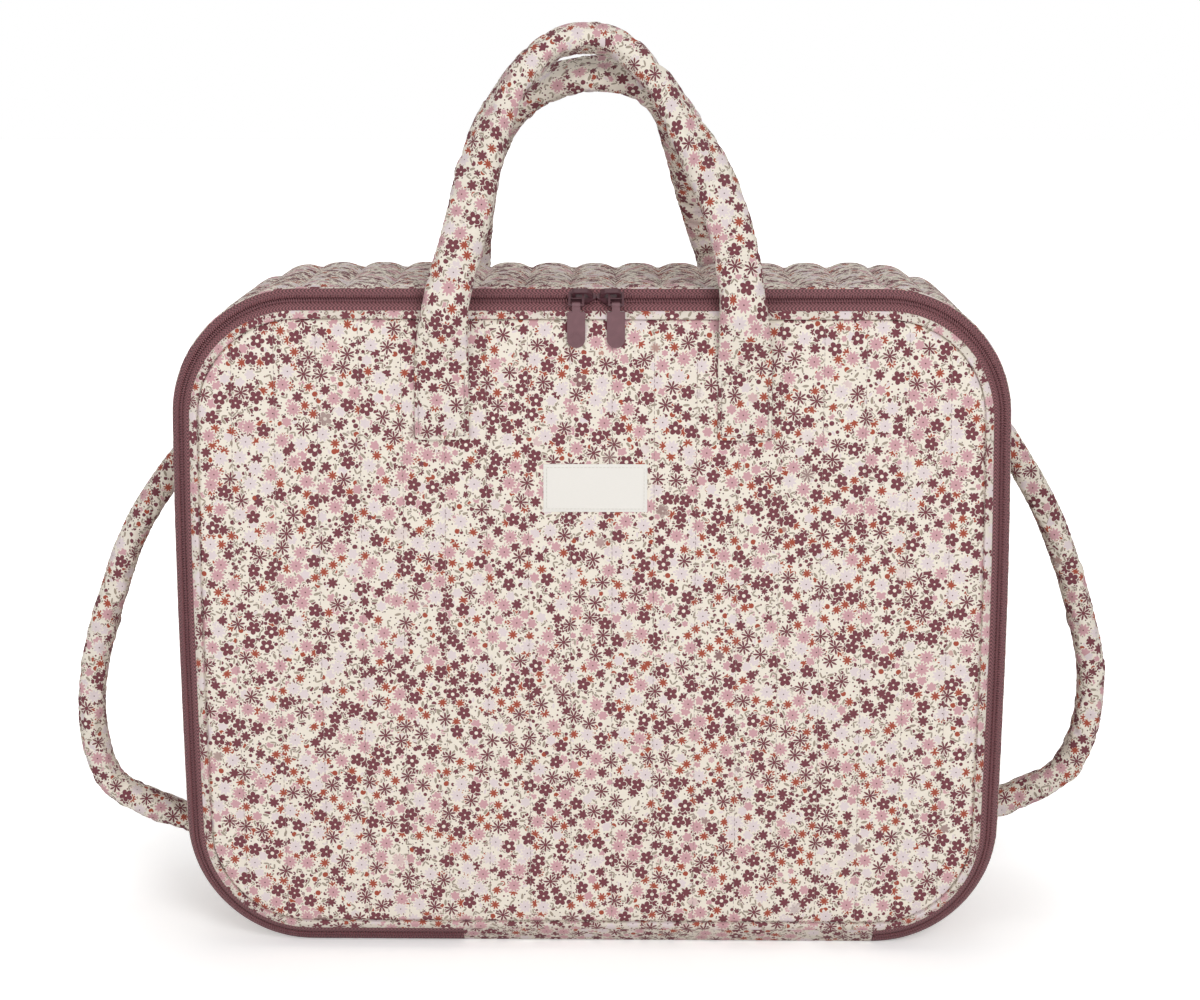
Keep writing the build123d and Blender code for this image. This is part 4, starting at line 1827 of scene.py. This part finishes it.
@dataclass
class ZipSides:
    """The zip's tapes, coil, printed border and hinge strip."""

    shop: Workshop
    thickness: float = 0.8 * MM
    half_gap: float = 0.72 * MM
    tooth_pitch: float = 1.5 * MM
    turn: Size = (2.9 * MM, 0.95 * MM, 1.7 * MM)
    turn_at: Pair = (1.55 * MM, 0.75 * MM)
    turn_slant: float = 14.0
    cord: Size = (1.5 * MM, 0.6 * MM, 0.55 * MM)
    cord_at: Pair = (2.3 * MM, 1.25 * MM)
    cord_slant: float = 24.0
    panel_inset: float = 17.0006 * MM
    front: float = -80 * MM
    fold: float = 2.6 * MM
    hinge_grid: tuple[int, int] = (84, 13)

    def build(self) -> None:
        """Builds and fits every piece of the zip band."""
        shop, band = self.shop, self.shop.band
        start, end = band.hinge_from, shop.outline.perimeter + band.hinge_to
        for name, node, body, edge, side in (
            ("lid_zip_tape", "zip_tape_front", "lid", band.reach_front, 1),
            ("shell_zip_tape", "zip_tape_rear", "shell", band.reach_rear, -1),
        ):
            section = [
                band.at(side * edge, 0.0),
                band.at(side * edge * 0.6, 0.25 * MM),
                band.at(side * self.half_gap, 0.0),
                band.at(side * self.half_gap, -self.thickness),
                band.at(side * (edge - 0.6 * MM), -self.thickness),
            ]
            shape, tape = rounded_section(section, 0.3 * MM, 2), shop.finishes.tape
            shop.hoop(name, shape, tape, body, "zip_tape", node, first=start, last=end)
            self._coil(body, side, start, end)
        self._border()
        self._hinge()

    def _coil(self, body: str, side: int, start: float, end: float) -> None:
        """One side's turns of coil, with the cord of stitches that holds them.

        Args:
            body: Body that this side moves with, which also names its pieces.
            side: 1 on the lid and -1 on the shell.
            start: Where the zip starts along the outline.
            end: Where it ends.
        """
        shop, outline, band = self.shop, self.shop.outline, self.shop.band
        turns, cord = Stations(), Stations()
        for k in range(int((end - start) / self.tooth_pitch)):
            distance = start + (k + (0.5 if side > 0 else 1.0)) * self.tooth_pitch
            _, _, nx, nz = outline.at(distance)
            tangent = Vector((nz, 0.0, -nx)) * -1
            facing = Vector((nx, -1.0, nz)).normalized()
            for stations, (across, out), along in (
                (turns, self.turn_at, tangent.cross(facing)),
                (cord, self.cord_at, tangent),
            ):
                inset, depth = band.at(side * across, out)
                stations.add(outline.place(distance, inset, depth), along, facing)
        coil, thread = shop.finishes.coil, shop.finishes.cord
        node = "zip_coil_front" if side > 0 else "zip_coil_rear"
        name, slant = body + "_zip_coil_turns", self.turn_slant * side
        shop.sew(name, turns, self.turn, coil, body, "zip_coil", [node], slant)
        name = body + "_zip_coil_stitches"
        shop.sew(name, cord, self.cord, thread, body, "zip_tape", slant=self.cord_slant)

    def _border(self) -> None:
        """The printed border round the lid's panel and the bound seam behind it."""
        shop, band = self.shop, self.shop.band
        edge = band.at(band.reach_front, 0.0)
        inner = band.at(band.reach_front, -1.6 * MM)
        middle = ((edge[0] + self.panel_inset) / 2, (edge[1] + self.front) / 2 - 1.0 * MM)
        section = rounded_section(
            [
                (self.panel_inset + 0.1 * MM, self.front + 2.2 * MM),
                (self.panel_inset - 0.5 * MM, self.front - 0.7 * MM),
                middle,
                (edge[0] - 0.5 * MM, edge[1] + 0.1 * MM),
                (inner[0] - 0.3 * MM, inner[1]),
                (self.panel_inset, self.front + self.fold),
            ],
            1.0 * MM,
            4,
        )
        trim, binding = shop.finishes.trim, shop.finishes.binding
        name, node = "lid_border_strip", "front_border"
        shop.hoop(name, section, trim, "lid", "trim_cloth", node, step=2.5 * MM)
        corners = [
            inner,
            (self.panel_inset, self.front + self.fold),
            (self.panel_inset, -INNER_FACE),
            (inner[0], -INNER_FACE),
        ]
        bound = rounded_section(corners, 0.8 * MM)
        shop.hoop("lid_seam_binding", bound, binding, "lid", "binding_tape", "seam_binding_front")

    def _hinge(self) -> None:
        """The cloth strip across the band at the bottom."""
        band = self.shop.band
        columns, rows = self.hinge_grid
        left, right = -band.hinge_from, -band.hinge_to

        def section(j: int) -> Pair:
            """A point across the strip, outside first and inside last.

            Args:
                j: Its number.

            Returns:
                Inset and depth.
            """
            steps = rows - 1
            if j <= steps:
                ends = (-band.reach_rear + 0.2 * MM, band.reach_front - 0.2 * MM)
                swell = 0.35 * MM * math.sin(math.pi * j / steps)
                return band.at(blend_value(*ends, j / steps), swell)
            ends = (band.reach_front - 0.4 * MM, -band.reach_rear + 1.3 * MM)
            return band.at(blend_value(*ends, (j - rows) / steps), -1.2 * MM)

        def place(i: int, j: int) -> Vector:
            """A point of the strip."""
            inset, depth = section(j)
            x = blend_value(left, right, i / (columns - 1))
            wave = noise.noise(Vector((x * 60.0, j * 0.3, 3.0))) * 0.2 * MM
            return Vector((x, depth - wave, max(0.0, inset + wave)))

        def spread(i: int, j: int) -> Pair:
            """The point's place on the cloth."""
            return blend_value(left, right, i / (columns - 1)), j * 1.4 * MM

        piece = Piece("hinge_strip_cloth")
        piece.tube(columns, rows * 2, place, spread)
        strip = piece.made(self.shop.finishes.trim)
        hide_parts("hinge_strip")
        low, high = band.at(-4 * MM, 0.0), band.at(4 * MM, 0.0)
        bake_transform(strip)


@dataclass
class Strap:
    """A padded strap: its route, its section and how full it is."""

    shop: Workshop
    name: str
    node: str
    body: str
    route: list[Vector]
    across: Callable[[float], Vector]
    width: Callable[[float], float]
    thickness: Callable[[float], float]
    step: float = 2.4 * MM
    ring: int = 28
    seed: float = 0.0
    fullness: float = 3.0
    fill: float = 0.7
    twist: Callable[[float], float] = lambda share: 0.0
    pinch: Callable[[float], float] = lambda share: 0.0

    def build(self) -> list[Vector]:
        """Builds the strap and fits it.

        Returns:
            The points of its middle line.
        """
        line = smooth_route(self.route, self.step)
        walked = [0.0]
        for a, b in zip(line, line[1:]):
            walked.append(walked[-1] + (b - a).length)
        total = walked[-1]
        piece = Piece(self.name)

        def place(i: int, j: int) -> Vector:
            """A point round the strap.

            Args:
                i: Number of its ring.
                j: Its number in the ring.

            Returns:
                The point.
            """
            share = walked[i] / total
            before, after = line[max(0, i - 1)], line[min(len(line) - 1, i + 1)]
            tangent = (after - before).normalized()
            normal = self.across(share)
            normal = (normal - tangent * normal.dot(tangent)).normalized()
            normal = Matrix.Rotation(self.twist(share), 3, tangent) @ normal
            side = tangent.cross(normal)
            angle = 2 * math.pi * j / self.ring
            c, s = math.cos(angle), math.sin(angle)
            power = 2.0 / self.fullness
            a = math.copysign(abs(c) ** power, c) * self.width(share) / 2
            b = math.copysign(abs(s) ** power, s) * self.thickness(share) / 2
            pad = smooth_step(5 * MM, 12 * MM, self.thickness(share))
            fold = noise.noise(Vector((walked[i] * 52.0, c * 0.9 + self.seed, s * 0.9)))
            ridge = noise.noise(Vector((walked[i] * 130.0, c * 1.6 + self.seed, s * 1.6 + 9.0)))
            scale = 1.0 + pad * (0.055 * fold + 0.022 * ridge) - self.pinch(share)
            seam = math.exp(-((abs(c) - 0.93) ** 2) / 0.0025) * 0.5 * MM * pad
            b -= math.copysign(seam * (1.0 if s < 0 else 0.4), s)
            return line[i] + side * (a * scale) + normal * (b * scale)

        rings = [[place(i, j) for j in range(self.ring)] for i in range(len(line))]
        lengths = []
        for ring in rings:
            run = [0.0]
            for a, b in zip(ring, ring[1:] + ring[:1]):
                run.append(run[-1] + (b - a).length)
            middle = run[self.ring // 4]
            lengths.append([value - middle for value in run])
        piece.tube(
            len(line),
            self.ring,
            lambda i, j: rings[i][j],
            lambda i, j: (walked[i] + self.seed, lengths[i][j]),
        )
        strap = piece.made(self.shop.finishes.strap, 70.0)

        def hold(index: int) -> float:
            """How firmly a point is held, by the sewn ends and both edge seams.

            Args:
                index: The point's number.

            Returns:
                A number from 0 to 1.
            """
            share = walked[index // self.ring] / total
            if self.thickness(share) < 0.7 * self.thickness(0.5) or not 0.03 < share < 0.97:
                return 1.0
            edge = abs(math.cos(2 * math.pi * (index % self.ring) / self.ring))
            return 0.9 if edge > 0.97 else 0.0

        Filling(growth=0.035).apply(strap, hold)
        self.shop.fit(strap, self.body, "handle_cover", [self.node], self.fill)
        return line


@dataclass
class TopHandle:
    """A padded handle sewn to the front or back by two flat ends.

    The arch is X and rise in the handle's leaning plane, in millimetres, from right to left.
    """

    shop: Workshop
    facing: int
    body: str
    grip_from: float
    lean: float
    arch: tuple[Pair, ...]
    ends: Pair = (89 * MM, -86.5 * MM)
    stand_off: float = 8.5 * MM
    end_low: float = 315 * MM
    end_high: float = 358 * MM
    end_width: float = 31.5 * MM
    grip_width: float = 26.0 * MM
    grip_thickness: float = 15.4 * MM
    end_thickness: float = 3.6 * MM
    turned_at: Pair = (0.22, 0.45)
    seam_at: float | None = None

    @property
    def face(self) -> float:
        """Y of the wall that carries the handle."""
        return self.facing * self.shop.outline.depth / 2

    def _leg(self, x: float) -> list[Vector]:
        """The flat end's middle line, from its foot up."""
        y = self.face + self.facing * (self.end_thickness / 2 + 0.35 * MM)
        middle = blend_value(self.end_low, self.end_high, 0.55)
        heights = (self.end_low, middle, self.end_high - 2 * MM)
        return [Vector((x, y, z)) for z in heights]

    def build(self) -> None:
        """Builds the handle and its stitches, and fits them."""
        tilt = math.radians(self.lean)
        up = Vector((0.0, -self.facing * math.sin(tilt), math.cos(tilt)))
        base = Vector((0.0, self.face + self.facing * self.stand_off, self.grip_from))
        grip = [base + Vector((x * MM, 0.0, 0.0)) + up * (rise * MM) for x, rise in self.arch]
        route = self._leg(self.ends[0]) + grip + self._leg(self.ends[1])[::-1]
        line = smooth_route(route, 2.6 * MM)
        total = sum((b - a).length for a, b in zip(line, line[1:]))
        flat = (self.end_high - self.end_low) / total
        soft = (self.grip_from - self.end_high + 16 * MM) / total
        leaning = Vector((0.0, self.facing * math.cos(tilt), math.sin(tilt)))

        def ease(share: float) -> float:
            """0 on the flat ends and 1 on the grip."""
            return smooth_step(flat * 0.96, flat + soft, min(share, 1.0 - share))

        def across(share: float) -> Vector:
            """The direction that the strap's outer face looks in."""
            return Vector((0.0, float(self.facing), 0.0)).lerp(leaning, ease(share)).normalized()

        def twist(share: float) -> float:
            """Turns the strap's wide face upwards over the top of the arch."""
            turned = smooth_step(*self.turned_at, min(share, 1.0 - share))
            return -self.facing * math.radians(80) * turned

        def pinch(share: float) -> float:
            """Draws the strap in at its joining seam."""
            if self.seam_at is None:
                return 0.0
            return 0.13 * math.exp(-(((share - self.seam_at) * total / (1.5 * MM)) ** 2))

        name = "front" if self.facing < 0 else "rear"
        strap = Strap(
            shop=self.shop,
            name=name + "_handle_strap",
            node=name + "_handle",
            body=self.body,
            route=route,
            across=across,
            width=lambda share: blend_value(self.end_width, self.grip_width, ease(share)),
            thickness=lambda share: blend_value(
                self.end_thickness, self.grip_thickness, ease(share)
            ),
            seed=0.31 if self.facing < 0 else 0.77,
            twist=twist,
            pinch=pinch,
        )
        strap.build()
        self._stitches(strap.name)

    def _stitches(self, name: str) -> None:
        """The stitched box on each sewn end.

        Args:
            name: The strap's name.
        """
        stations = Stations()
        y = self.face + self.facing * (self.end_thickness + 0.42 * MM)
        inner = 2.3 * MM
        for middle in self.ends:
            x0, x1 = middle - self.end_width / 2 + inner, middle + self.end_width / 2 - inner
            z0, z1 = self.end_low + inner, self.end_high - 2.5 * MM
            box = [Vector((x, y, z)) for x, z in ((x0, z0), (x1, z0), (x1, z1), (x0, z1), (x0, z0))]
            stations.row(box, Vector((0, self.facing, 0)), HANDLE_PITCH)
        name, thread = name + "_stitches", self.shop.finishes.thread
        self.shop.sew(name, stations, HANDLE_STITCH, thread, self.body, "handle_cover")


@dataclass
class SideHandle:
    """A padded handle on one side of the gusset."""

    shop: Workshop
    side: int
    corners: tuple[Pair, ...]
    width: float = 19.5 * MM
    thickness: float = 16.6 * MM
    end_half: float = 19 * MM
    end_columns: int = 15
    end_lifts: Pair = (15 * MM, -10 * MM)
    stitch_box: Pair = (16 * MM, 11.5 * MM)
    stitch_out: float = 3.75 * MM

    def build(self) -> None:
        """Builds the handle with its two sewn ends."""
        label = "left" if self.side < 0 else "right"
        route = [Vector((self.side * x * MM, 0.0, z * MM)) for x, z in self.corners]
        name = f"side_handle_{label}"
        strap = Strap(
            shop=self.shop,
            name=name + "_strap",
            node=name,
            body="shell",
            route=route,
            across=lambda share: Vector((0.0, -1.0, 0.0)),
            width=lambda share: self.thickness,
            thickness=lambda share: self.width,
            seed=1.3 if self.side < 0 else 2.1,
            fullness=2.6,
            fill=0.75,
        )
        self._ends(name, strap.build())

    def _ends(self, name: str, line: Sequence[Vector]) -> None:
        """The flat ends, which follow the gusset's curve.

        Args:
            name: The handle's name.
            line: Middle line of its strap.
        """
        shop, outline = self.shop, self.shop.outline
        piece, stations, columns = Piece(name + "_sewn_ends"), Stations(), self.end_columns
        section = rounded_section(
            [
                (0.3 * MM, -14 * MM),
                (-3.4 * MM, -13.4 * MM),
                (-3.6 * MM, 0.0),
                (-3.4 * MM, 13.4 * MM),
                (0.3 * MM, 14 * MM),
            ],
            1.2 * MM,
        )
        for anchor, lift in zip((line[0], line[-1]), self.end_lifts):
            middle = self._distance(anchor.z + lift)

            def place(i: int, j: int) -> Vector:
                """A point of a sewn end."""
                off = blend_value(-self.end_half, self.end_half, i / (columns - 1))
                return outline.place(middle + off, *section[j])

            piece.tube(columns, len(section), place, lambda i, j: (i * 2.7 * MM, j * 2.2 * MM))
            _, _, nx, nz = outline.at(middle)
            half, deep = self.stitch_box
            box = [
                outline.place(middle + a * half, -self.stitch_out, b * deep)
                for a, b in ((-1, -1), (1, -1), (1, 1), (-1, 1), (-1, -1))
            ]
            stations.row(box, Vector((nx, 0.0, nz)), HANDLE_PITCH)
        ends = piece.made(shop.finishes.strap, 60.0)
        shop.fit(ends, "shell", "handle_cover")
        name, thread = name + "_stitches", shop.finishes.thread
        shop.sew(name, stations, HANDLE_STITCH, thread, "shell", "handle_cover")

    def _distance(self, height: float) -> float:
        """The place along the outline of the side's point at a height.

        Args:
            height: The point's Z.

        Returns:
            The distance along the outline.
        """
        outline, steps = self.shop.outline, 600
        best, best_gap = 0.0, 1.0
        half = outline.perimeter / 2
        for k in range(steps):
            distance = half * k / steps
            if self.side > 0:
                distance = outline.perimeter - distance
            x, z, _, _ = outline.at(distance)
            gap = abs(z - height) + (0.0 if abs(x) > outline.straight_half else 1.0)
            if gap < best_gap:
                best, best_gap = distance, gap
        return best


@dataclass
class Label:
    """The bare cloth label sewn to the lid."""

    shop: Workshop
    width: float = 60.6 * MM
    height: float = 28.4 * MM
    x: float = 2.5 * MM
    z: float = 286 * MM
    front: float = -81.35 * MM
    back: float = -80.1 * MM
    stitch: Size = (1.7 * MM, 0.34 * MM, 0.3 * MM)
    stitch_pitch: float = 2.2 * MM
    stitch_inset: float = 1.9 * MM

    def build(self) -> None:
        """Builds the label and its stitches."""
        shop = self.shop
        columns, rows = 41, 21

        def place(i: int, j: int) -> Vector:
            """A point of the label's face, which dips at its stitched edge.

            Args:
                i: Its column.
                j: Its row.

            Returns:
                The point.
            """
            a, b = i / (columns - 1), j / (rows - 1)
            edge = min(a, 1 - a) * self.width, min(b, 1 - b) * self.height
            drop = (1 - smooth_step(0.0, 1.6 * MM, min(edge))) * 0.5 * MM
            wave = noise.noise(Vector((a * 5.0, b * 3.0, 1.0))) * 0.16 * MM
            x, z = self.x + (a - 0.5) * self.width, self.z + (b - 0.5) * self.height
            return Vector((x, self.front + drop + wave, z))

        def back(i: int, j: int) -> Vector:
            """The same point on the label's back."""
            point = place(i, j)
            return Vector((point.x, self.back, point.z))

        def spread(i: int, j: int) -> Pair:
            """The point's place on the cloth."""
            return (i / columns * self.width, j / rows * self.height)

        piece = Piece("label_cloth_patch")
        piece.slab(columns, rows, place, back, spread, 0.0)
        patch = piece.made(shop.finishes.label)
        shop.fit(patch, "lid", "label_cloth", ["label"])
        stations = Stations()
        dx, dz = self.width / 2 - self.stitch_inset, self.height / 2 - self.stitch_inset
        box = [
            Vector((self.x + a * dx, self.front - 0.02 * MM, self.z + b * dz))
            for a, b in ((-1, -1), (1, -1), (1, 1), (-1, 1), (-1, -1))
        ]
        stations.row(box, Vector((0, -1, 0)), self.stitch_pitch)
        thread = shop.finishes.label_thread
        shop.sew("label_stitches", stations, self.stitch, thread, "lid", "label_cloth")


@dataclass
class Hardware:
    """The zip's sliders, links and tabs, which keep their true solids."""

    shop: Workshop

    def build(self, frame: dict[str, Any]) -> None:
        """Gives each solid its finish.

        Args:
            frame: The loaded frame.
        """
        finishes = self.shop.finishes
        for name, thing in frame["nodes"].items():
            if name.startswith(("zip_slider", "pull_link")):
                self._dress(thing, finishes.slider)
            elif name.startswith("pull_tab"):
                self._dress(thing, finishes.pull)

    @staticmethod
    def _dress(thing: Object, material: Material) -> None:
        """Assigns a finish to every slot of a solid.

        Args:
            thing: The solid.
            material: Its finish.
        """
        if not thing.material_slots:
            thing.data.materials.append(material)
        for place in thing.material_slots:
            place.link = "OBJECT"
            place.material = material


@dataclass
class Studio:
    """Camera, lamps and floor."""

    eye: Size = (0.0245, -1.428, 0.5587)
    yaw: float = 0.82
    pitch: float = 11.73
    lens: float = 70.71
    backdrop: Colour = (0.93, 0.93, 0.93)
    floor_half: float = 9.0
    aim: Size = (0.0, 0.0, 0.22)

    def build(self) -> None:
        """Sets up the whole studio."""
        self._camera()
        self._floor()
        self._lamps()
        scene = bpy.context.scene
        scene.view_settings.view_transform = "Standard"

    def _camera(self) -> None:
        """The camera at the photograph's place."""
        data = bpy.data.cameras.new("camera")
        data.sensor_fit = "HORIZONTAL"
        data.sensor_width = 36.0
        data.lens = self.lens
        camera = bpy.data.objects.new("camera", data)
        yaw, pitch = math.radians(self.yaw), math.radians(self.pitch)
        forward = Vector(
            (-math.sin(yaw) * math.cos(pitch), math.cos(yaw) * math.cos(pitch), -math.sin(pitch))
        )
        right = Vector((math.cos(yaw), math.sin(yaw), 0.0))
        up = right.cross(forward)
        turn = Matrix((right, up, -forward)).transposed().to_4x4()
        camera.matrix_world = Matrix.Translation(self.eye) @ turn
        bpy.context.scene.collection.objects.link(camera)
        bpy.context.scene.camera = camera

    def _floor(self) -> None:
        """A pale floor and a white backdrop that only the camera sees."""
        mesh = bpy.data.meshes.new("floor")
        size = self.floor_half
        corners = [(-size, -size, 0), (size, -size, 0), (size, size, 0), (-size, size, 0)]
        mesh.from_pydata(corners, [], [(0, 1, 2, 3)])
        floor = bpy.data.objects.new("floor", mesh)
        desk = NodeDesk("floor_paint")
        spot = desk.object_vector()
        far = desk.node("ShaderNodeVectorMath", {"operation": "LENGTH"}, {0: spot}, "Value")
        seen = desk.node("ShaderNodeLightPath", output="Is Camera Ray")
        glow = desk.node(
            "ShaderNodeMapRange",
            {"interpolation_type": "SMOOTHSTEP"},
            {"Value": far, "From Min": 0.22, "From Max": 0.55, "To Min": 0.30, "To Max": 1.0},
        )
        white = desk.mix(glow * seen, (0.0, 0.0, 0.0), (1.0, 1.0, 1.0))
        plain = {"Emission Color": white, "Emission Strength": 1.0}
        mesh.materials.append(desk.finish(self.backdrop, 0.9, plain=plain))
        bpy.context.scene.collection.objects.link(floor)
        floor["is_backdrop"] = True
        world = bpy.data.worlds.new("studio")
        bpy.context.scene.world = world
        world.use_nodes = True
        nodes, links = world.node_tree.nodes, world.node_tree.links
        nodes.clear()
        seen = nodes.new("ShaderNodeLightPath")
        mix, end = nodes.new("ShaderNodeMixShader"), nodes.new("ShaderNodeOutputWorld")
        links.new(seen.outputs["Is Camera Ray"], mix.inputs[0])
        soft, white = (1.0, 0.985, 0.97, 1.0), (1.0, 1.0, 1.0, 1.0)
        for place, (colour, strength) in enumerate(((soft, 0.44), (white, 1.0)), start=1):
            light = nodes.new("ShaderNodeBackground")
            light.inputs["Color"].default_value = colour
            light.inputs["Strength"].default_value = strength
            links.new(light.outputs[0], mix.inputs[place])
        links.new(mix.outputs[0], end.inputs[0])

    def _lamps(self) -> None:
        """Large soft lamps, the key in front on the right."""
        for name, place, size, watts in (
            ("key_lamp", (0.9, -2.3, 1.5), 1.0, 33.0),
            ("fill_lamp", (-1.7, -2.0, 0.9), 1.4, 17.0),
            ("top_lamp", (0.0, 0.2, 2.4), 1.4, 7.0),
        ):
            data = bpy.data.lights.new(name, "AREA")
            data.shape = "SQUARE"
            data.size = size
            data.energy = watts
            lamp = bpy.data.objects.new(name, data)
            aim = Vector(self.aim) - Vector(place)
            lamp.rotation_euler = aim.to_track_quat("-Z", "Y").to_euler()
            lamp.location = place
            bpy.context.scene.collection.objects.link(lamp)


def main() -> None:
    """Builds the suitcase and its studio, and writes how large it is."""
    logging.basicConfig(level=logging.INFO, format="%(name)s: %(message)s")
    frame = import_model()
    solid_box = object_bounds()
    shop = Workshop(BodyOutline(), ZipBand(), Finishes.mixed(), Repeater())
    Studio().build()
    Gusset(shop).build()
    QuiltedPanel(
        shop,
        name="front",
        body="lid",
        nodes=("front_panel", "front_foam", "front_lining"),
        facing=-1,
        inset=17.0 * MM,
        rim=((17.0 * MM, -77.9 * MM),),
        edge_drop=1.3 * MM,
        patch=(2.5 * MM, 286 * MM, 60.6 * MM, 28.4 * MM),
    ).build()
    QuiltedPanel(
        shop,
        name="rear",
        body="shell",
        nodes=("rear_panel", "rear_foam", "rear_lining"),
        facing=1,
        inset=7.0 * MM,
        rim=(
            (4.6 * MM, 79.0 * MM),
            (2.6 * MM, 77.6 * MM),
            (1.3 * MM, 75.6 * MM),
            (1.0 * MM, 73.6 * MM),
            (1.8 * MM, 72.0 * MM),
            (4.4 * MM, 72.0 * MM),
            (4.4 * MM, 77.9 * MM),
        ),
        scallop=3.0 * MM,
        inner_inset=4.4 * MM,
    ).build()
    ZipSides(shop).build()
    front_arch = (
        (88, 0), (84.5, 30), (80.5, 50), (74.5, 70), (66.5, 89), (55.5, 109),
        (46.5, 127), (37.5, 141), (26, 154), (14, 163), (0, 167), (-15, 165),
        (-30, 156.5), (-42.5, 143), (-52, 127), (-59.5, 108), (-64.5, 88), (-68.5, 68),
        (-73, 48), (-78.5, 28), (-84.5, 0),
    )
    rear_arch = (
        (80, -8), (75, 8), (67.5, 39), (57.5, 80), (49.5, 107), (38.5, 133), (25, 146),
        (7, 151), (-9, 149.5), (-25, 142.5), (-43.5, 127.5), (-61, 101), (-71, 76),
        (-78, 30), (-82, -8),
    )
    TopHandle(shop, -1, "lid", 388 * MM, 21.0, front_arch).build()
    TopHandle(
        shop, 1, "shell", 404 * MM, 38.0, rear_arch, ends=(86 * MM, -86 * MM), seam_at=0.515
    ).build()
    left_route = (
        (244, 299), (252, 291), (266, 273), (285, 245), (305, 192), (319, 135),
        (313, 84), (290, 66), (241, 49.7),
    )
    right_route = (
        (244, 311), (252, 303), (265, 283), (284, 250), (303, 195), (314, 148),
        (306, 98), (284, 78), (241, 62),
    )
    SideHandle(shop, -1, left_route).build()
    SideHandle(shop, 1, right_route).build()
    Label(shop).build()
    Hardware(shop).build(frame)
    visual_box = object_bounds()
    sizes = {"cad": [list(c) for c in solid_box], "visual": [list(c) for c in visual_box]}
    LOG.info("solid box %s, visual box %s", sizes["cad"], sizes["visual"])


if __name__ == "__main__":
    main()
